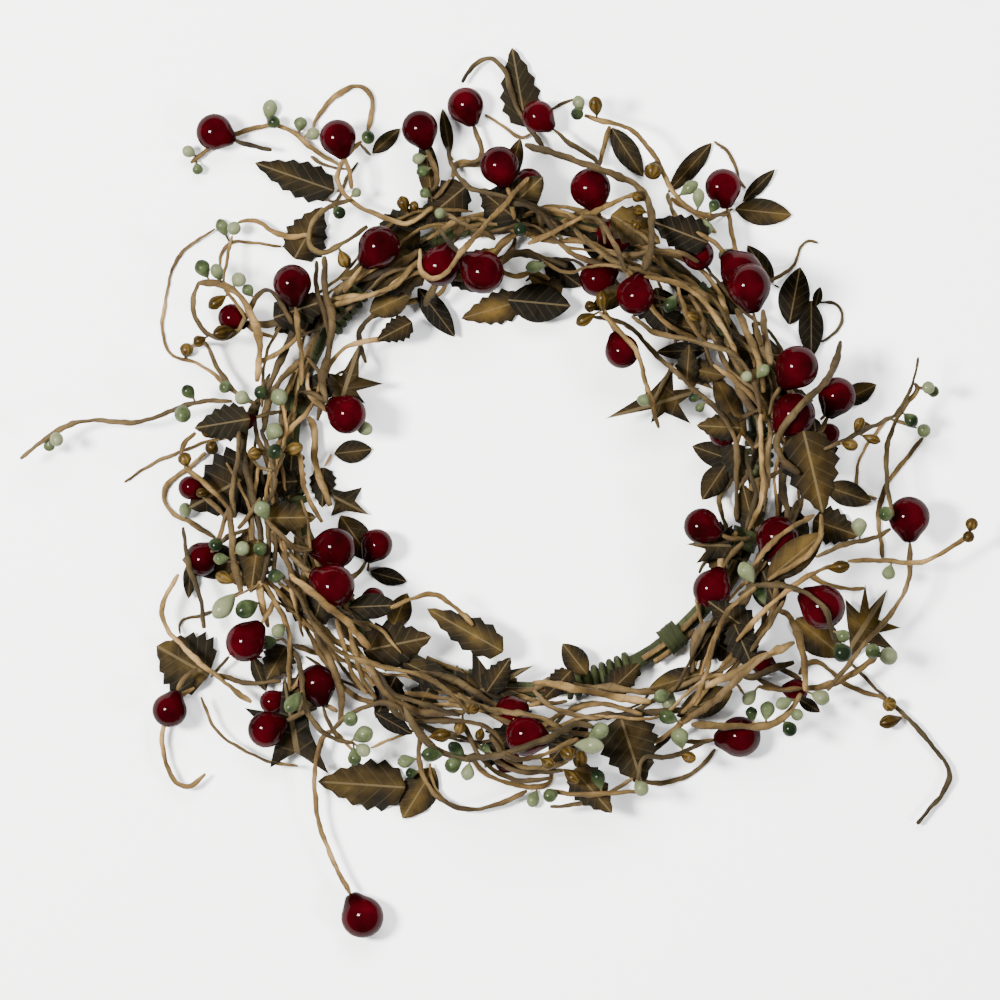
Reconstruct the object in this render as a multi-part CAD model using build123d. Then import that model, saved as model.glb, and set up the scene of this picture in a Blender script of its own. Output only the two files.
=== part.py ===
from build123d import *

import math
import os

import numpy as np

# A candle ring: a taped wire hoop carries eight sprays of paper-wrapped twigs, which hold
# rose hips, small pips and dried leaves. It lies flat on a table, with a pillar candle
# inside. The frame has its origin at the hoop's centre on the table, X to the right
# and Y to the top of the photograph, and Z up.

# Hoop and its tape
RING_DIAMETER = 114.3
RING_WIRE_DIAMETER = 2.0
RING_TAPE_DIAMETER = 4.0

# Windings of taped wire round the hoop
WINDING_WIRE_DIAMETER = 1.5
WINDING_PITCH = 2.1
WINDING_FLAT_DEPTH = 0.5
LEAST_WINDING_GAP = 0.4

# Tape ties that hold root stems on the hoop
TIE_LENGTH = 5.0
TIE_THICKNESS = 0.4
TIE_RISE = 0.9

# Twigs, by their outer diameters
ROOT_DIAMETER = 1.4
STEM_DIAMETER = 1.9
TWIG_DIAMETER = 1.35
TENDRIL_DIAMETER = 0.9
CORE_SHARE = 0.42
CORE_CLEARANCE = 0.06
CORNER_SHARE = 0.45

# Hips
HIP_NECK_SHARE = 0.62
HIP_NECK_WIDTH_SHARE = 0.2
HIP_NECK_WALL = 0.2
HIP_BORE_DEPTH_SHARE = 0.3
HIP_CROWN_SHARE = 0.12
HIP_CROWN_TOP_SHARE = 0.7
HIP_HOLLOW_SHARES = (0.015, 0.03)
HIP_NECK_SPHERE_SHARES = ((0.55, 0.62), (0.85, 0.42), (1.05, 0.34))

# Pips
PIP_TIP_SHARE = 0.26
PIP_SPHERE_SHARES = (0, 0.3, 0.6, 0.85)
PIP_HEART_SHARE = 0.6
PIP_REACH_SHARES = (1.5, 2.5, 4)
PIP_RISES = (0, 20, 40, 60, -20, -40)
PIP_RISE_COST_SHARE = 0.004
PIP_DEPTH_COST_SHARE = 0.03
PIP_SLANT_SHARE = 0.6
PIP_TRIALS = 400

# Leaves
LEAF_THICKNESS = 0.35
LEAF_CURL_SHARE = 0.85
LEAF_STEPS = 12
LEAF_BULGE_SHARES = {"toothed": 0.62, "lance": 0.9}
LEAF_FULLNESS_SHARE = 0.8
LEAF_TOOTH_SHARE = 1.14
LEAF_NOTCH_SHARE = 0.9
LEAF_FOOT_SHARE = 0.04
STAR_DIP_SHARE = 0.45
STAR_CURL_SHARE = 2.6

# Strands and leaves that fill the ring between the sprays, in an even scatter
STRANDS = 64
STRAND_KINDS = ("twig", "tendril", "twig", "stem", "tendril")
STRAND_LAYERS = 4
STRAND_POINTS = 7
STRAND_SPAN = 34
STRAND_WAVE = 2.8
SCRUB_LEAVES = 66
SCRUB_LEAF_SPREAD_SHARE = 1.35
SCRUB_LEAF_LENGTH = 12.0
SCRUB_LEAF_WIDTH = 7.5
SCRUB_HALF_WIDTH = 11.0
SCRUB_DRIFT = 2.4
SCRUB_LEAN = 7.3
SCATTER_SHARES = (0.618034, 0.754878, 0.569840)
BARE_FROM = 292
BARE_TO = 314
BARE_OFFSET = 9.0

# Clearances and the heights that the layers start from
TAPE_CLEARANCE = 0.05
SETTLE_GAP = 0.12
PIP_GAP = 0.06
GRAFT_GAP = 0.25
JOINED_GAP = 0.35
LONGEST_GRAFT = 16.0
GRAFT_GOALS = 40
GRAFT_ENDS = 14
GRAFT_STEP = 0.3
LEAST_CLEARANCE = 0.03
RIM_SPOTS = 8
FOLD_SHARE = 0.2
BASE_LEVEL = 2.2
LEVEL_STEP = 1.7
SAMPLE_STEP = 0.55
LEAF_SAMPLE_STEP = 0.5
HEAP_REACH = 12.0

# The photograph's pixels, measured from its top left corner
RING_CENTRE_PX = (525, 455)
RING_RADIUS_PX = 235
PX = RING_DIAMETER / 2 / RING_RADIUS_PX

SPRAYS = ("right", "upper_right", "top", "upper_left", "left", "lower_left", "bottom", "lower_right")
SPRAY_ANGLE = 360 / len(SPRAYS)

# Windings: name, angle of its middle in degrees, number of loops
WINDINGS = (
    ("bottom", 289, 8),
    ("left", 186, 6),
    ("upper_left", 141, 6),
    ("right", 2, 4),
)

# Root stems tied along the hoop: angle where each starts, where it ends, seat about the hoop
SIDE_SEAT = 35
ROOT_STEMS = (
    (133, 114, 90), (132, 117, 35), (131, 116, 145),
    (112, 66, 35), (108, 70, 90), (104, 74, 145),
    (62, 18, 90), (58, 24, 35), (54, 28, 145),
    (354, 328, 90), (350, 322, 35),
    (318, 300, 90), (314, 302, 35),
    (276, 240, 90), (272, 236, 35), (268, 244, 145),
    (232, 200, 90), (228, 204, 35), (226, 206, 145),
    (176, 156, 90), (174, 158, 35),
)
TIE_ANGLES = (125, 91, 42, 339, 309, 258, 217, 167)

# Twigs: thickness, layer, route in pixels
TWIGS_PX = (
    ("twig", 3, ((190, 162), (212, 144), (240, 131), (270, 122), (291, 129), (314, 150), (340, 165))),
    ("tendril", 2, ((310, 155), (328, 167), (346, 168))),
    ("twig", 5, ((313, 122), (325, 102), (344, 88), (361, 81), (372, 95), (372, 114), (367, 130))),
    ("twig", 4, ((362, 142), (343, 158), (335, 180), (350, 203), (380, 217), (408, 228), (433, 208))),
    ("tendril", 3, ((357, 161), (343, 182), (337, 204))),
    ("twig", 5, ((352, 201), (328, 206), (310, 226), (308, 248), (323, 257), (345, 243), (368, 227))),
    ("twig", 4, ((238, 222), (252, 217), (268, 229), (286, 237), (305, 235))),
    ("tendril", 3, ((227, 239), (219, 253), (219, 268))),
    ("tendril", 2, ((176, 252), (165, 290), (160, 330), (168, 358), (188, 358), (207, 369), (232, 392))),
    ("twig", 5, (
        (200, 282), (191, 309), (206, 337), (233, 341), (250, 316), (262, 286), (278, 296), (294, 325)
    )),
    ("stem", 6, ((200, 284), (222, 283), (244, 298), (258, 325), (262, 352), (258, 382))),
    ("tendril", 5, ((222, 286), (238, 304), (248, 322))),
    ("twig", 3, ((208, 338), (214, 365), (238, 396), (256, 404))),
    ("twig", 5, ((317, 262), (317, 290), (326, 316), (331, 340))),
    ("stem", 6, ((325, 258), (326, 293), (335, 322), (330, 352), (323, 378), (328, 404))),
    ("twig", 4, ((307, 357), (320, 370), (324, 396), (318, 420))),
    ("twig", 4, ((309, 373), (306, 393), (326, 409), (356, 424))),
    ("stem", 3, ((233, 321), (260, 326), (287, 322))),
    ("twig", 5, ((22, 459), (56, 431), (90, 418), (130, 425), (165, 415), (198, 401), (234, 402))),
    ("tendril", 3, ((123, 482), (149, 464), (177, 452), (206, 441), (232, 436))),
    ("twig", 6, ((197, 433), (181, 447), (185, 467), (214, 489), (231, 510))),
    ("stem", 7, ((231, 506), (233, 530), (235, 556), (243, 592))),
    ("twig", 5, ((181, 472), (160, 489), (166, 511), (190, 523), (214, 538))),
    ("twig", 5, ((184, 527), (188, 562), (202, 598), (205, 628))),
    ("twig", 6, ((179, 574), (160, 606), (168, 632), (202, 664), (230, 686), (252, 702))),
    ("twig", 3, ((214, 674), (245, 684), (281, 681))),
    ("twig", 3, ((194, 688), (168, 702), (160, 740), (168, 776), (187, 792), (205, 774))),
    ("tendril", 3, ((201, 697), (212, 728), (240, 750), (272, 763), (298, 766))),
    ("tendril", 2, ((176, 621), (194, 617), (214, 611))),
    ("tendril", 3, ((229, 654), (242, 658), (262, 657))),
    ("twig", 6, ((283, 638), (300, 654), (304, 688), (309, 717), (328, 736), (354, 742))),
    ("twig", 6, ((264, 578), (284, 612), (293, 640), (289, 668), (291, 690))),
    ("stem", 7, ((293, 574), (324, 598), (351, 622), (371, 647))),
    ("twig", 7, ((303, 595), (318, 628), (345, 654), (392, 667), (430, 675), (452, 692), (470, 712))),
    ("stem", 6, ((317, 630), (334, 664), (343, 692), (341, 722))),
    ("twig", 8, ((334, 728), (352, 711), (378, 700), (397, 702), (412, 722), (428, 742))),
    ("twig", 5, ((350, 625), (357, 651), (362, 676), (377, 698))),
    ("twig", 5, ((337, 618), (347, 646), (352, 673), (368, 692))),
    ("twig", 4, ((462, 82), (469, 67), (489, 54), (505, 67), (511, 92), (522, 118), (544, 147))),
    ("tendril", 3, ((485, 113), (501, 123), (521, 139))),
    ("tendril", 3, ((546, 112), (558, 104), (573, 98))),
    ("stem", 3, ((455, 161), (468, 163), (484, 161))),
    ("twig", 8, ((528, 180), (496, 218), (467, 250), (448, 276), (430, 285), (420, 272), (421, 252))),
    ("twig", 5, ((448, 148), (453, 172), (471, 193), (510, 200), (545, 213), (568, 232))),
    ("twig", 4, ((450, 180), (443, 191), (434, 199))),
    ("twig", 6, ((500, 208), (525, 205), (545, 221), (562, 242))),
    ("stem", 8, ((525, 147), (568, 161), (608, 176), (640, 187), (651, 215), (649, 250), (643, 274))),
    ("twig", 7, ((440, 214), (465, 227), (495, 241))),
    ("twig", 6, ((584, 117), (608, 124), (634, 131), (655, 158), (668, 186), (684, 211), (707, 218))),
    ("twig", 5, ((610, 125), (604, 147), (599, 166))),
    ("twig", 7, ((640, 193), (604, 209), (564, 229), (528, 246))),
    ("twig", 7, ((581, 219), (600, 222), (614, 250), (624, 276))),
    ("twig", 6, ((574, 231), (590, 250), (615, 260), (645, 255), (678, 253), (697, 264))),
    ("twig", 6, ((582, 238), (605, 262), (634, 272), (662, 283), (690, 287))),
    ("twig", 7, ((642, 280), (672, 284), (698, 298), (714, 318), (728, 340), (735, 360))),
    ("twig", 6, ((676, 289), (682, 311), (693, 331), (707, 346))),
    ("twig", 5, ((688, 296), (702, 318), (703, 344), (712, 366))),
    ("twig", 8, ((630, 319), (654, 336), (690, 341), (730, 353), (751, 378), (757, 415))),
    ("twig", 8, ((757, 415), (757, 450), (761, 486), (755, 511), (745, 530))),
    ("twig", 7, ((712, 366), (734, 383), (753, 400), (764, 424))),
    ("twig", 7, (
        (626, 323), (645, 345), (670, 369), (697, 394), (724, 420), (735, 450), (733, 488), (734, 520)
    )),
    ("twig", 7, ((598, 314), (616, 331), (633, 348), (642, 374), (649, 400), (658, 428))),
    ("twig", 5, ((672, 364), (663, 384), (652, 404))),
    ("twig", 7, ((742, 450), (747, 473), (754, 493), (749, 513), (743, 530))),
    ("twig", 6, ((767, 433), (764, 460), (766, 488))),
    ("stem", 8, ((838, 343), (829, 376), (803, 400), (780, 424), (771, 445), (777, 462), (795, 474))),
    ("twig", 8, ((811, 515), (784, 529), (762, 547), (750, 569), (744, 584))),
    ("twig", 8, ((816, 514), (817, 537), (808, 552), (788, 565), (764, 579))),
    ("twig", 5, ((924, 438), (906, 460), (887, 484), (879, 510), (881, 534), (884, 558))),
    ("twig", 6, ((919, 388), (895, 415), (884, 450), (884, 482), (890, 516))),
    ("twig", 6, ((893, 416), (866, 428), (844, 439), (819, 450))),
    ("tendril", 3, ((889, 418), (870, 440), (858, 465), (856, 492))),
    ("tendril", 7, ((916, 358), (912, 380), (905, 399), (888, 420))),
    ("twig", 6, ((968, 534), (944, 552), (911, 565), (884, 559), (846, 561))),
    ("twig", 6, ((828, 565), (802, 575), (782, 590), (758, 612), (734, 640))),
    ("twig", 4, ((810, 575), (826, 584), (842, 589), (860, 590))),
    ("twig", 5, ((889, 529), (872, 539), (845, 542), (812, 556))),
    ("twig", 8, ((736, 594), (756, 582), (780, 584), (803, 591), (820, 606), (830, 640))),
    ("stem", 7, ((786, 612), (798, 636), (803, 664), (804, 690))),
    ("twig", 6, ((780, 600), (766, 624), (748, 650))),
    ("twig", 8, ((752, 586), (734, 599), (719, 618), (710, 650), (702, 680), (694, 700), (680, 712))),
    ("stem", 6, ((700, 688), (729, 673), (760, 655), (792, 642))),
    ("stem", 7, ((682, 722), (706, 705), (726, 687), (743, 667), (765, 652))),
    ("stem", 4, ((750, 680), (771, 669), (794, 662))),
    ("twig", 4, ((758, 686), (780, 690), (803, 688))),
    ("stem", 7, ((690, 723), (730, 725), (766, 726), (788, 713), (799, 692))),
    ("twig", 3, ((716, 750), (702, 769), (680, 781), (655, 786), (630, 776))),
    ("stem", 4, ((802, 688), (822, 686), (843, 680), (862, 666), (876, 656))),
    ("twig", 3, ((810, 658), (828, 667), (843, 683), (862, 692), (892, 701))),
    ("twig", 3, ((892, 703), (914, 723), (936, 750), (955, 772), (942, 797), (918, 825))),
    ("tendril", 3, ((795, 268), (799, 250), (806, 237), (819, 242))),
    ("tendril", 4, ((821, 302), (838, 300), (846, 315), (838, 332), (825, 341))),
    ("tendril", 4, ((715, 140), (733, 153), (741, 182))),
    ("twig", 5, ((683, 205), (703, 216), (717, 232))),
    ("stem", 5, ((735, 310), (747, 338), (758, 368), (760, 394))),
    ("stem", 4, ((761, 312), (762, 340), (768, 366))),
    ("twig", 6, ((262, 430), (269, 448), (276, 470), (277, 490), (268, 503))),
    ("tendril", 6, ((274, 471), (258, 467), (250, 454), (259, 446), (271, 457))),
    ("twig", 5, ((241, 432), (239, 465), (232, 495), (236, 517))),
    ("stem", 6, ((316, 428), (312, 456), (321, 482), (330, 506))),
    ("twig", 5, ((300, 452), (304, 482), (312, 504), (324, 522))),
    ("tendril", 7, ((303, 500), (311, 524), (312, 552))),
    ("twig", 8, ((269, 520), (286, 537), (300, 551), (314, 549))),
    ("twig", 6, ((270, 524), (271, 552), (265, 582))),
    ("twig", 5, ((277, 532), (278, 554), (274, 574))),
    ("twig", 6, ((286, 538), (289, 560), (300, 584))),
    ("twig", 5, ((300, 558), (308, 572), (319, 584))),
    ("twig", 7, ((240, 528), (252, 515), (262, 498))),
    ("stem", 5, ((262, 580), (263, 602), (269, 626))),
    ("twig", 6, ((229, 510), (222, 530), (219, 547))),
    ("twig", 6, ((382, 672), (390, 691), (423, 702), (460, 714))),
    ("twig", 6, ((406, 691), (440, 696), (474, 702), (502, 712))),
    ("twig", 7, ((458, 692), (485, 707), (524, 710), (551, 718), (572, 733))),
    ("stem", 8, ((405, 704), (418, 731), (440, 751), (470, 756), (501, 751), (540, 738), (578, 719))),
    ("twig", 7, ((415, 719), (445, 720), (476, 719), (498, 733), (504, 752))),
    ("stem", 7, ((533, 681), (560, 683), (586, 690), (616, 696), (650, 701))),
    ("twig", 6, ((533, 689), (550, 706), (575, 714), (602, 717))),
    ("twig", 8, ((502, 748), (521, 757), (546, 750), (577, 735))),
    ("twig", 5, ((464, 724), (477, 752), (495, 773), (523, 781), (552, 777))),
    ("twig", 4, ((470, 757), (487, 778), (516, 787), (552, 788))),
    ("twig", 7, ((490, 734), (505, 757), (527, 768), (562, 764))),
    ("twig", 4, ((419, 736), (419, 770), (433, 796), (460, 811), (497, 807), (527, 791))),
    ("tendril", 3, ((430, 764), (431, 785), (446, 803))),
    ("twig", 5, ((548, 789), (580, 795), (612, 791), (644, 791))),
    ("twig", 4, ((550, 806), (580, 804), (607, 794), (632, 777))),
    ("twig", 6, ((392, 607), (414, 596), (436, 592), (456, 606), (473, 625))),
    ("twig", 5, ((640, 753), (664, 757), (688, 750), (704, 741))),
)

# Hips: middle, diameter, layer, route of the stem from the hip outward
HIPS_PX = (
    ((214, 133), 36, 4, ((234, 140), (249, 146), (272, 150))),
    ((338, 139), 36, 5, ((345, 158), (350, 172), (352, 190))),
    ((423, 129), 36, 5, ((428, 152), (434, 168), (440, 188))),
    ((468, 104), 36, 5, ((474, 127), (480, 142), (487, 160))),
    ((542, 113), 32, 6, ((553, 129), (572, 145), (601, 162))),
    ((497, 169), 38, 5, ((507, 190), (512, 204), (514, 222))),
    ((526, 186), 32, 3, ((535, 204), (540, 218), (543, 236))),
    ((586, 192), 40, 5, ((597, 213), (602, 228), (604, 246))),
    ((722, 187), 36, 5, ((727, 209), (731, 230), (737, 256), (744, 284))),
    ((379, 248), 42, 5, ((364, 268), (354, 280), (345, 294))),
    ((295, 285), 38, 6, ((297, 309), (300, 332), (303, 358), (302, 386))),
    ((440, 268), 40, 5, ((452, 248), (460, 234), (470, 220))),
    ((489, 257), 42, 6, ((464, 259), (450, 248), (440, 232))),
    ((612, 236), 36, 3, ((603, 254), (596, 266), (590, 280))),
    ((599, 283), 36, 3, ((614, 270), (626, 262), (642, 256))),
    ((633, 298), 38, 6, ((640, 275), (644, 260), (652, 244))),
    ((616, 354), 34, 5, ((613, 333), (608, 320), (600, 306))),
    ((696, 256), 32, 4, ((687, 238), (680, 226), (672, 214))),
    ((711, 278), 42, 6, ((721, 257), (712, 243), (695, 234))),
    ((761, 291), 44, 7, ((750, 315), (752, 330), (758, 348))),
    ((795, 370), 42, 6, ((780, 386), (770, 398), (766, 416))),
    ((776, 381), 30, 3, ((764, 394), (758, 408), (758, 424))),
    ((831, 395), 38, 5, ((826, 417), (820, 431), (808, 444))),
    ((788, 413), 42, 6, ((774, 430), (764, 440), (752, 448))),
    ((828, 433), 22, 3, ((815, 434), (802, 434), (786, 438))),
    ((234, 317), 28, 4, ((248, 327), (260, 334), (276, 338))),
    ((346, 418), 38, 5, ((330, 404), (318, 396), (304, 392))),
    ((720, 433), 28, 4, ((733, 424), (744, 416), (758, 410))),
    ((796, 459), 34, 4, ((780, 470), (768, 478), (754, 480))),
    ((703, 521), 35, 5, ((719, 534), (732, 540), (750, 538))),
    ((778, 539), 42, 5, ((764, 557), (756, 570), (744, 584))),
    ((714, 590), 38, 5, ((722, 567), (730, 553), (742, 542))),
    ((911, 517), 41, 6, ((908, 542), (909, 572), (901, 598), (884, 620), (864, 642))),
    ((819, 605), 44, 6, ((797, 592), (784, 584), (768, 582))),
    ((334, 539), 42, 6, ((314, 547), (300, 549), (284, 542))),
    ((370, 542), 32, 4, ((366, 562), (358, 574), (342, 584))),
    ((338, 580), 42, 6, ((316, 572), (302, 564), (290, 552))),
    ((371, 595), 24, 3, ((362, 606), (350, 614), (334, 616))),
    ((243, 636), 40, 6, ((262, 623), (272, 612), (276, 596))),
    ((322, 682), 38, 6, ((324, 706), (328, 720), (340, 738))),
    ((182, 711), 34, 5, ((178, 690), (184, 676), (198, 668))),
    ((266, 728), 36, 5, ((288, 720), (302, 714), (318, 700))),
    ((270, 700), 24, 3, ((284, 694), (296, 686), (304, 672))),
    ((740, 742), 42, 5, ((714, 740), (698, 742), (680, 742))),
    ((525, 734), 40, 6, ((548, 738), (564, 742), (586, 738))),
    ((510, 700), 30, 4, ((527, 704), (542, 700), (560, 692))),
    ((506, 766), 26, 4, ((521, 765), (536, 770), (554, 772))),
    ((190, 491), 24, 4, ((204, 496), (216, 504), (228, 520))),
    ((199, 555), 34, 5, ((216, 546), (228, 536), (246, 530))),
    ((360, 918), 42, 4, ((350, 893), (330, 856), (316, 815), (314, 778), (318, 746), (330, 726))),
    ((247, 422), 18, 4, ((257, 418), (268, 414), (282, 412))),
    ((762, 670), 24, 3, ((776, 668), (788, 672), (802, 680))),
    ((796, 684), 24, 3, ((782, 688), (770, 686), (756, 678))),
)

# Pips: middle, length, width, layer
SAGE_PIPS_PX = (
    ((188, 151), 17, 12), ((197, 169), 13, 11), ((270, 103), 22, 15), ((274, 122), 15, 13),
    ((300, 123), 16, 14), ((313, 133), 17, 13), ((368, 139), 17, 14), ((357, 193), 12, 10),
    ((340, 214), 18, 13), ((221, 225), 20, 13), ((233, 230), 18, 14), ((204, 269), 21, 16),
    ((219, 273), 22, 13), ((241, 281), 18, 15), ((249, 291), 15, 12), ((190, 392), 18, 13),
    ((185, 415), 24, 17), ((59, 440), 20, 14), ((50, 446), 14, 12), ((403, 165), 15, 12),
    ((404, 180), 15, 12), ((417, 189), 13, 11), ((440, 216), 13, 11), ((520, 232), 18, 14),
    ((534, 268), 22, 13), ((578, 103), 17, 12), ((576, 116), 17, 13), ((692, 187), 22, 13),
    ((697, 199), 22, 12), ((713, 207), 15, 12), ((705, 230), 18, 14), ((724, 255), 16, 12),
    ((742, 260), 24, 14), ((760, 372), 18, 12), ((743, 378), 14, 11), ((742, 569), 24, 16),
    ((642, 401), 14, 13), ((932, 392), 15, 12), ((944, 389), 16, 13), ((910, 421), 18, 14),
    ((925, 421), 18, 14), ((856, 514), 20, 16), ((881, 514), 18, 15), ((885, 580), 16, 14),
    ((757, 590), 24, 13), ((185, 510), 27, 13), ((217, 545), 18, 14), ((212, 559), 16, 12),
    ((225, 607), 34, 19), ((248, 608), 30, 19), ((280, 630), 18, 14), ((269, 642), 18, 16),
    ((294, 702), 30, 15), ((362, 427), 27, 14), ((262, 393), 17, 14), ((281, 398), 24, 17),
    ((243, 398), 18, 15), ((225, 387), 15, 13), ((276, 431), 20, 17), ((277, 452), 22, 15),
    ((265, 509), 22, 16), ((245, 548), 18, 15), ((262, 549), 17, 14), ((262, 583), 18, 14),
    ((277, 575), 18, 14), ((239, 433), 16, 13), ((365, 733), 24, 17), ((369, 752), 20, 14),
    ((357, 782), 19, 14), ((393, 764), 19, 14), ((386, 778), 13, 11), ((352, 717), 20, 15),
    ((456, 745), 26, 13), ((453, 762), 20, 16), ((468, 770), 18, 14), ((431, 752), 24, 15),
    ((599, 728), 24, 17), ((590, 742), 32, 16), ((660, 695), 24, 14), ((669, 703), 19, 15),
    ((665, 715), 22, 15), ((679, 735), 22, 18), ((549, 794), 19, 14), ((533, 801), 19, 13),
    ((597, 774), 22, 14), ((592, 786), 18, 11), ((640, 786), 20, 15), ((492, 281), 15, 12),
    ((490, 292), 15, 12), ((837, 651), 24, 19), ((838, 634), 16, 13), ((821, 697), 20, 16),
    ((788, 728), 20, 15), ((795, 713), 18, 12), ((748, 698), 20, 13), ((766, 708), 20, 15),
    ((781, 702), 20, 13), ((750, 711), 16, 12), ((871, 651), 18, 16), ((893, 655), 26, 18),
    ((691, 399), 12, 9), ((688, 417), 12, 9), ((668, 307), 20, 14), ((485, 744), 12, 9),
)
GOLD_PIPS_PX = (
    ((187, 345), 17, 14), ((200, 342), 15, 12), ((214, 306), 22, 13), ((224, 334), 28, 15),
    ((399, 191), 18, 13), ((410, 203), 12, 10), ((595, 107), 24, 14), ((636, 199), 14, 12),
    ((637, 213), 14, 12), ((635, 227), 13, 11), ((207, 431), 22, 13), ((211, 448), 16, 14),
    ((187, 459), 17, 14), ((198, 494), 13, 10), ((854, 425), 18, 11), ((868, 440), 20, 10),
    ((845, 446), 20, 12), ((836, 566), 24, 13), ((969, 524), 17, 13), ((979, 528), 16, 12),
    ((567, 749), 24, 15), ((580, 761), 24, 15), ((572, 775), 21, 13), ((548, 759), 16, 12),
    ((443, 733), 22, 14), ((474, 706), 19, 11), ((345, 262), 20, 14), ((256, 454), 18, 14),
    ((296, 449), 22, 14), ((547, 341), 22, 13), ((688, 756), 19, 12), ((889, 704), 17, 15),
    ((889, 722), 26, 14), ((225, 577), 22, 13), ((690, 318), 18, 11), ((652, 173), 22, 18),
    ((607, 287), 18, 13), ((601, 301), 22, 13), ((575, 312), 14, 12), ((860, 427), 14, 10),
    ((460, 726), 18, 12), ((480, 733), 16, 10),
)

# Leaves: outline, layer, base, tip, width
LEAVES_PX = (
    ("toothed", 1, (262, 468), (190, 508), 66),
    ("toothed", 2, (334, 190), (254, 162), 36),
    ("toothed", 2, (294, 258), (322, 206), 42),
    ("toothed", 2, (526, 126), (512, 46), 38),
    ("toothed", 2, (208, 676), (156, 646), 66),
    ("toothed", 2, (405, 788), (317, 782), 48),
    ("toothed", 5, (503, 651), (427, 608), 34),
    ("toothed", 4, (364, 650), (432, 636), 46),
    ("lance", 3, (398, 658), (462, 690), 26),
    ("toothed", 4, (620, 716), (642, 784), 56),
    ("lance", 3, (732, 690), (676, 716), 30),
    ("toothed", 6, (799, 432), (818, 513), 54),
    ("lance", 4, (826, 486), (873, 502), 26),
    ("toothed", 3, (814, 520), (860, 536), 36),
    ("toothed", 3, (428, 268), (340, 280), 46),
    ("lance", 2, (418, 288), (455, 337), 24),
    ("toothed", 2, (522, 300), (461, 318), 32),
    ("lance", 3, (508, 300), (571, 306), 40),
    ("lance", 2, (656, 288), (668, 338), 38),
    ("lance", 4, (630, 288), (590, 312), 22),
    ("lance", 3, (706, 350), (656, 352), 18),
    ("lance", 3, (714, 376), (746, 438), 24),
    ("lance", 3, (738, 462), (692, 446), 26),
    ("lance", 3, (726, 464), (702, 500), 26),
    ("lance", 4, (790, 324), (801, 266), 32),
    ("lance", 5, (812, 300), (812, 358), 26),
    ("lance", 4, (736, 208), (793, 214), 28),
    ("lance", 4, (744, 200), (776, 168), 14),
    ("lance", 5, (816, 306), (821, 286), 10),
    ("lance", 4, (774, 282), (748, 244), 20),
    ("lance", 4, (712, 142), (668, 192), 20),
    ("lance", 4, (372, 152), (400, 127), 16),
    ("lance", 4, (450, 152), (442, 107), 13),
    ("lance", 3, (432, 202), (424, 134), 22),
    ("lance", 4, (520, 141), (506, 190), 18),
    ("lance", 4, (612, 127), (644, 176), 24),
    ("lance", 4, (842, 402), (878, 384), 22),
    ("lance", 5, (764, 578), (820, 532), 32),
    ("lance", 3, (190, 560), (188, 599), 14),
    ("lance", 3, (252, 656), (266, 692), 15),
    ("lance", 3, (370, 572), (407, 582), 18),
    ("lance", 5, (350, 606), (400, 604), 26),
    ("toothed", 1, (336, 606), (276, 592), 52),
    ("toothed", 3, (286, 646), (266, 680), 32),
    ("lance", 3, (704, 672), (648, 688), 24),
    ("lance", 2, (718, 622), (692, 662), 26),
    ("lance", 4, (376, 712), (413, 733), 18),
    ("lance", 3, (798, 698), (820, 712), 13),
    ("lance", 2, (340, 516), (372, 562), 30),
    ("lance", 2, (420, 232), (366, 262), 44),
)

# Star leaves: layer, middle, tips
STARS_PX = (
    (5, (662, 402), ((605, 419), (672, 368), (700, 388), (690, 424), (650, 424))),
    (3, (694, 378), ((714, 390), (680, 362), (704, 364), (690, 392))),
    (2, (718, 545), ((685, 544), (695, 563), (732, 524), (742, 560), (708, 522))),
    (3, (294, 734), ((270, 768), (329, 774), (284, 672), (244, 708), (306, 700))),
    (3, (482, 690), ((472, 649), (534, 665), (450, 668), (520, 694), (470, 712))),
    (3, (346, 388), ((360, 344), (384, 384), (330, 420), (322, 372), (366, 404))),
    (3, (344, 502), ((362, 487), (369, 515), (326, 487), (330, 516))),
    (2, (864, 628), ((889, 589), (902, 628), (898, 652), (846, 599), (852, 662), (866, 584))),
)


def place(pixel):
    """Photograph pixel to X and Y on the table."""
    x = (pixel[0] - RING_CENTRE_PX[0]) * PX
    y = (RING_CENTRE_PX[1] - pixel[1]) * PX
    return np.array((x, y))


def spray_of(x, y):
    """Name of the clock direction that a point lies in."""
    turn = math.degrees(math.atan2(y, x)) + SPRAY_ANGLE / 2
    return SPRAYS[int(turn % 360 // SPRAY_ANGLE)]


def unit(vector):
    return vector / np.linalg.norm(vector)


TWIG_DIAMETERS = {"stem": STEM_DIAMETER, "twig": TWIG_DIAMETER, "tendril": TENDRIL_DIAMETER}
RING_RADIUS = RING_DIAMETER / 2
WINDING_RADIUS = RING_TAPE_DIAMETER / 2 + TAPE_CLEARANCE + WINDING_WIRE_DIAMETER / 2
RING_HEIGHT = WINDING_RADIUS + WINDING_WIRE_DIAMETER / 2 - WINDING_FLAT_DEPTH


# Obstacles: every placed piece leaves spheres that later pieces stay clear of

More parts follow.
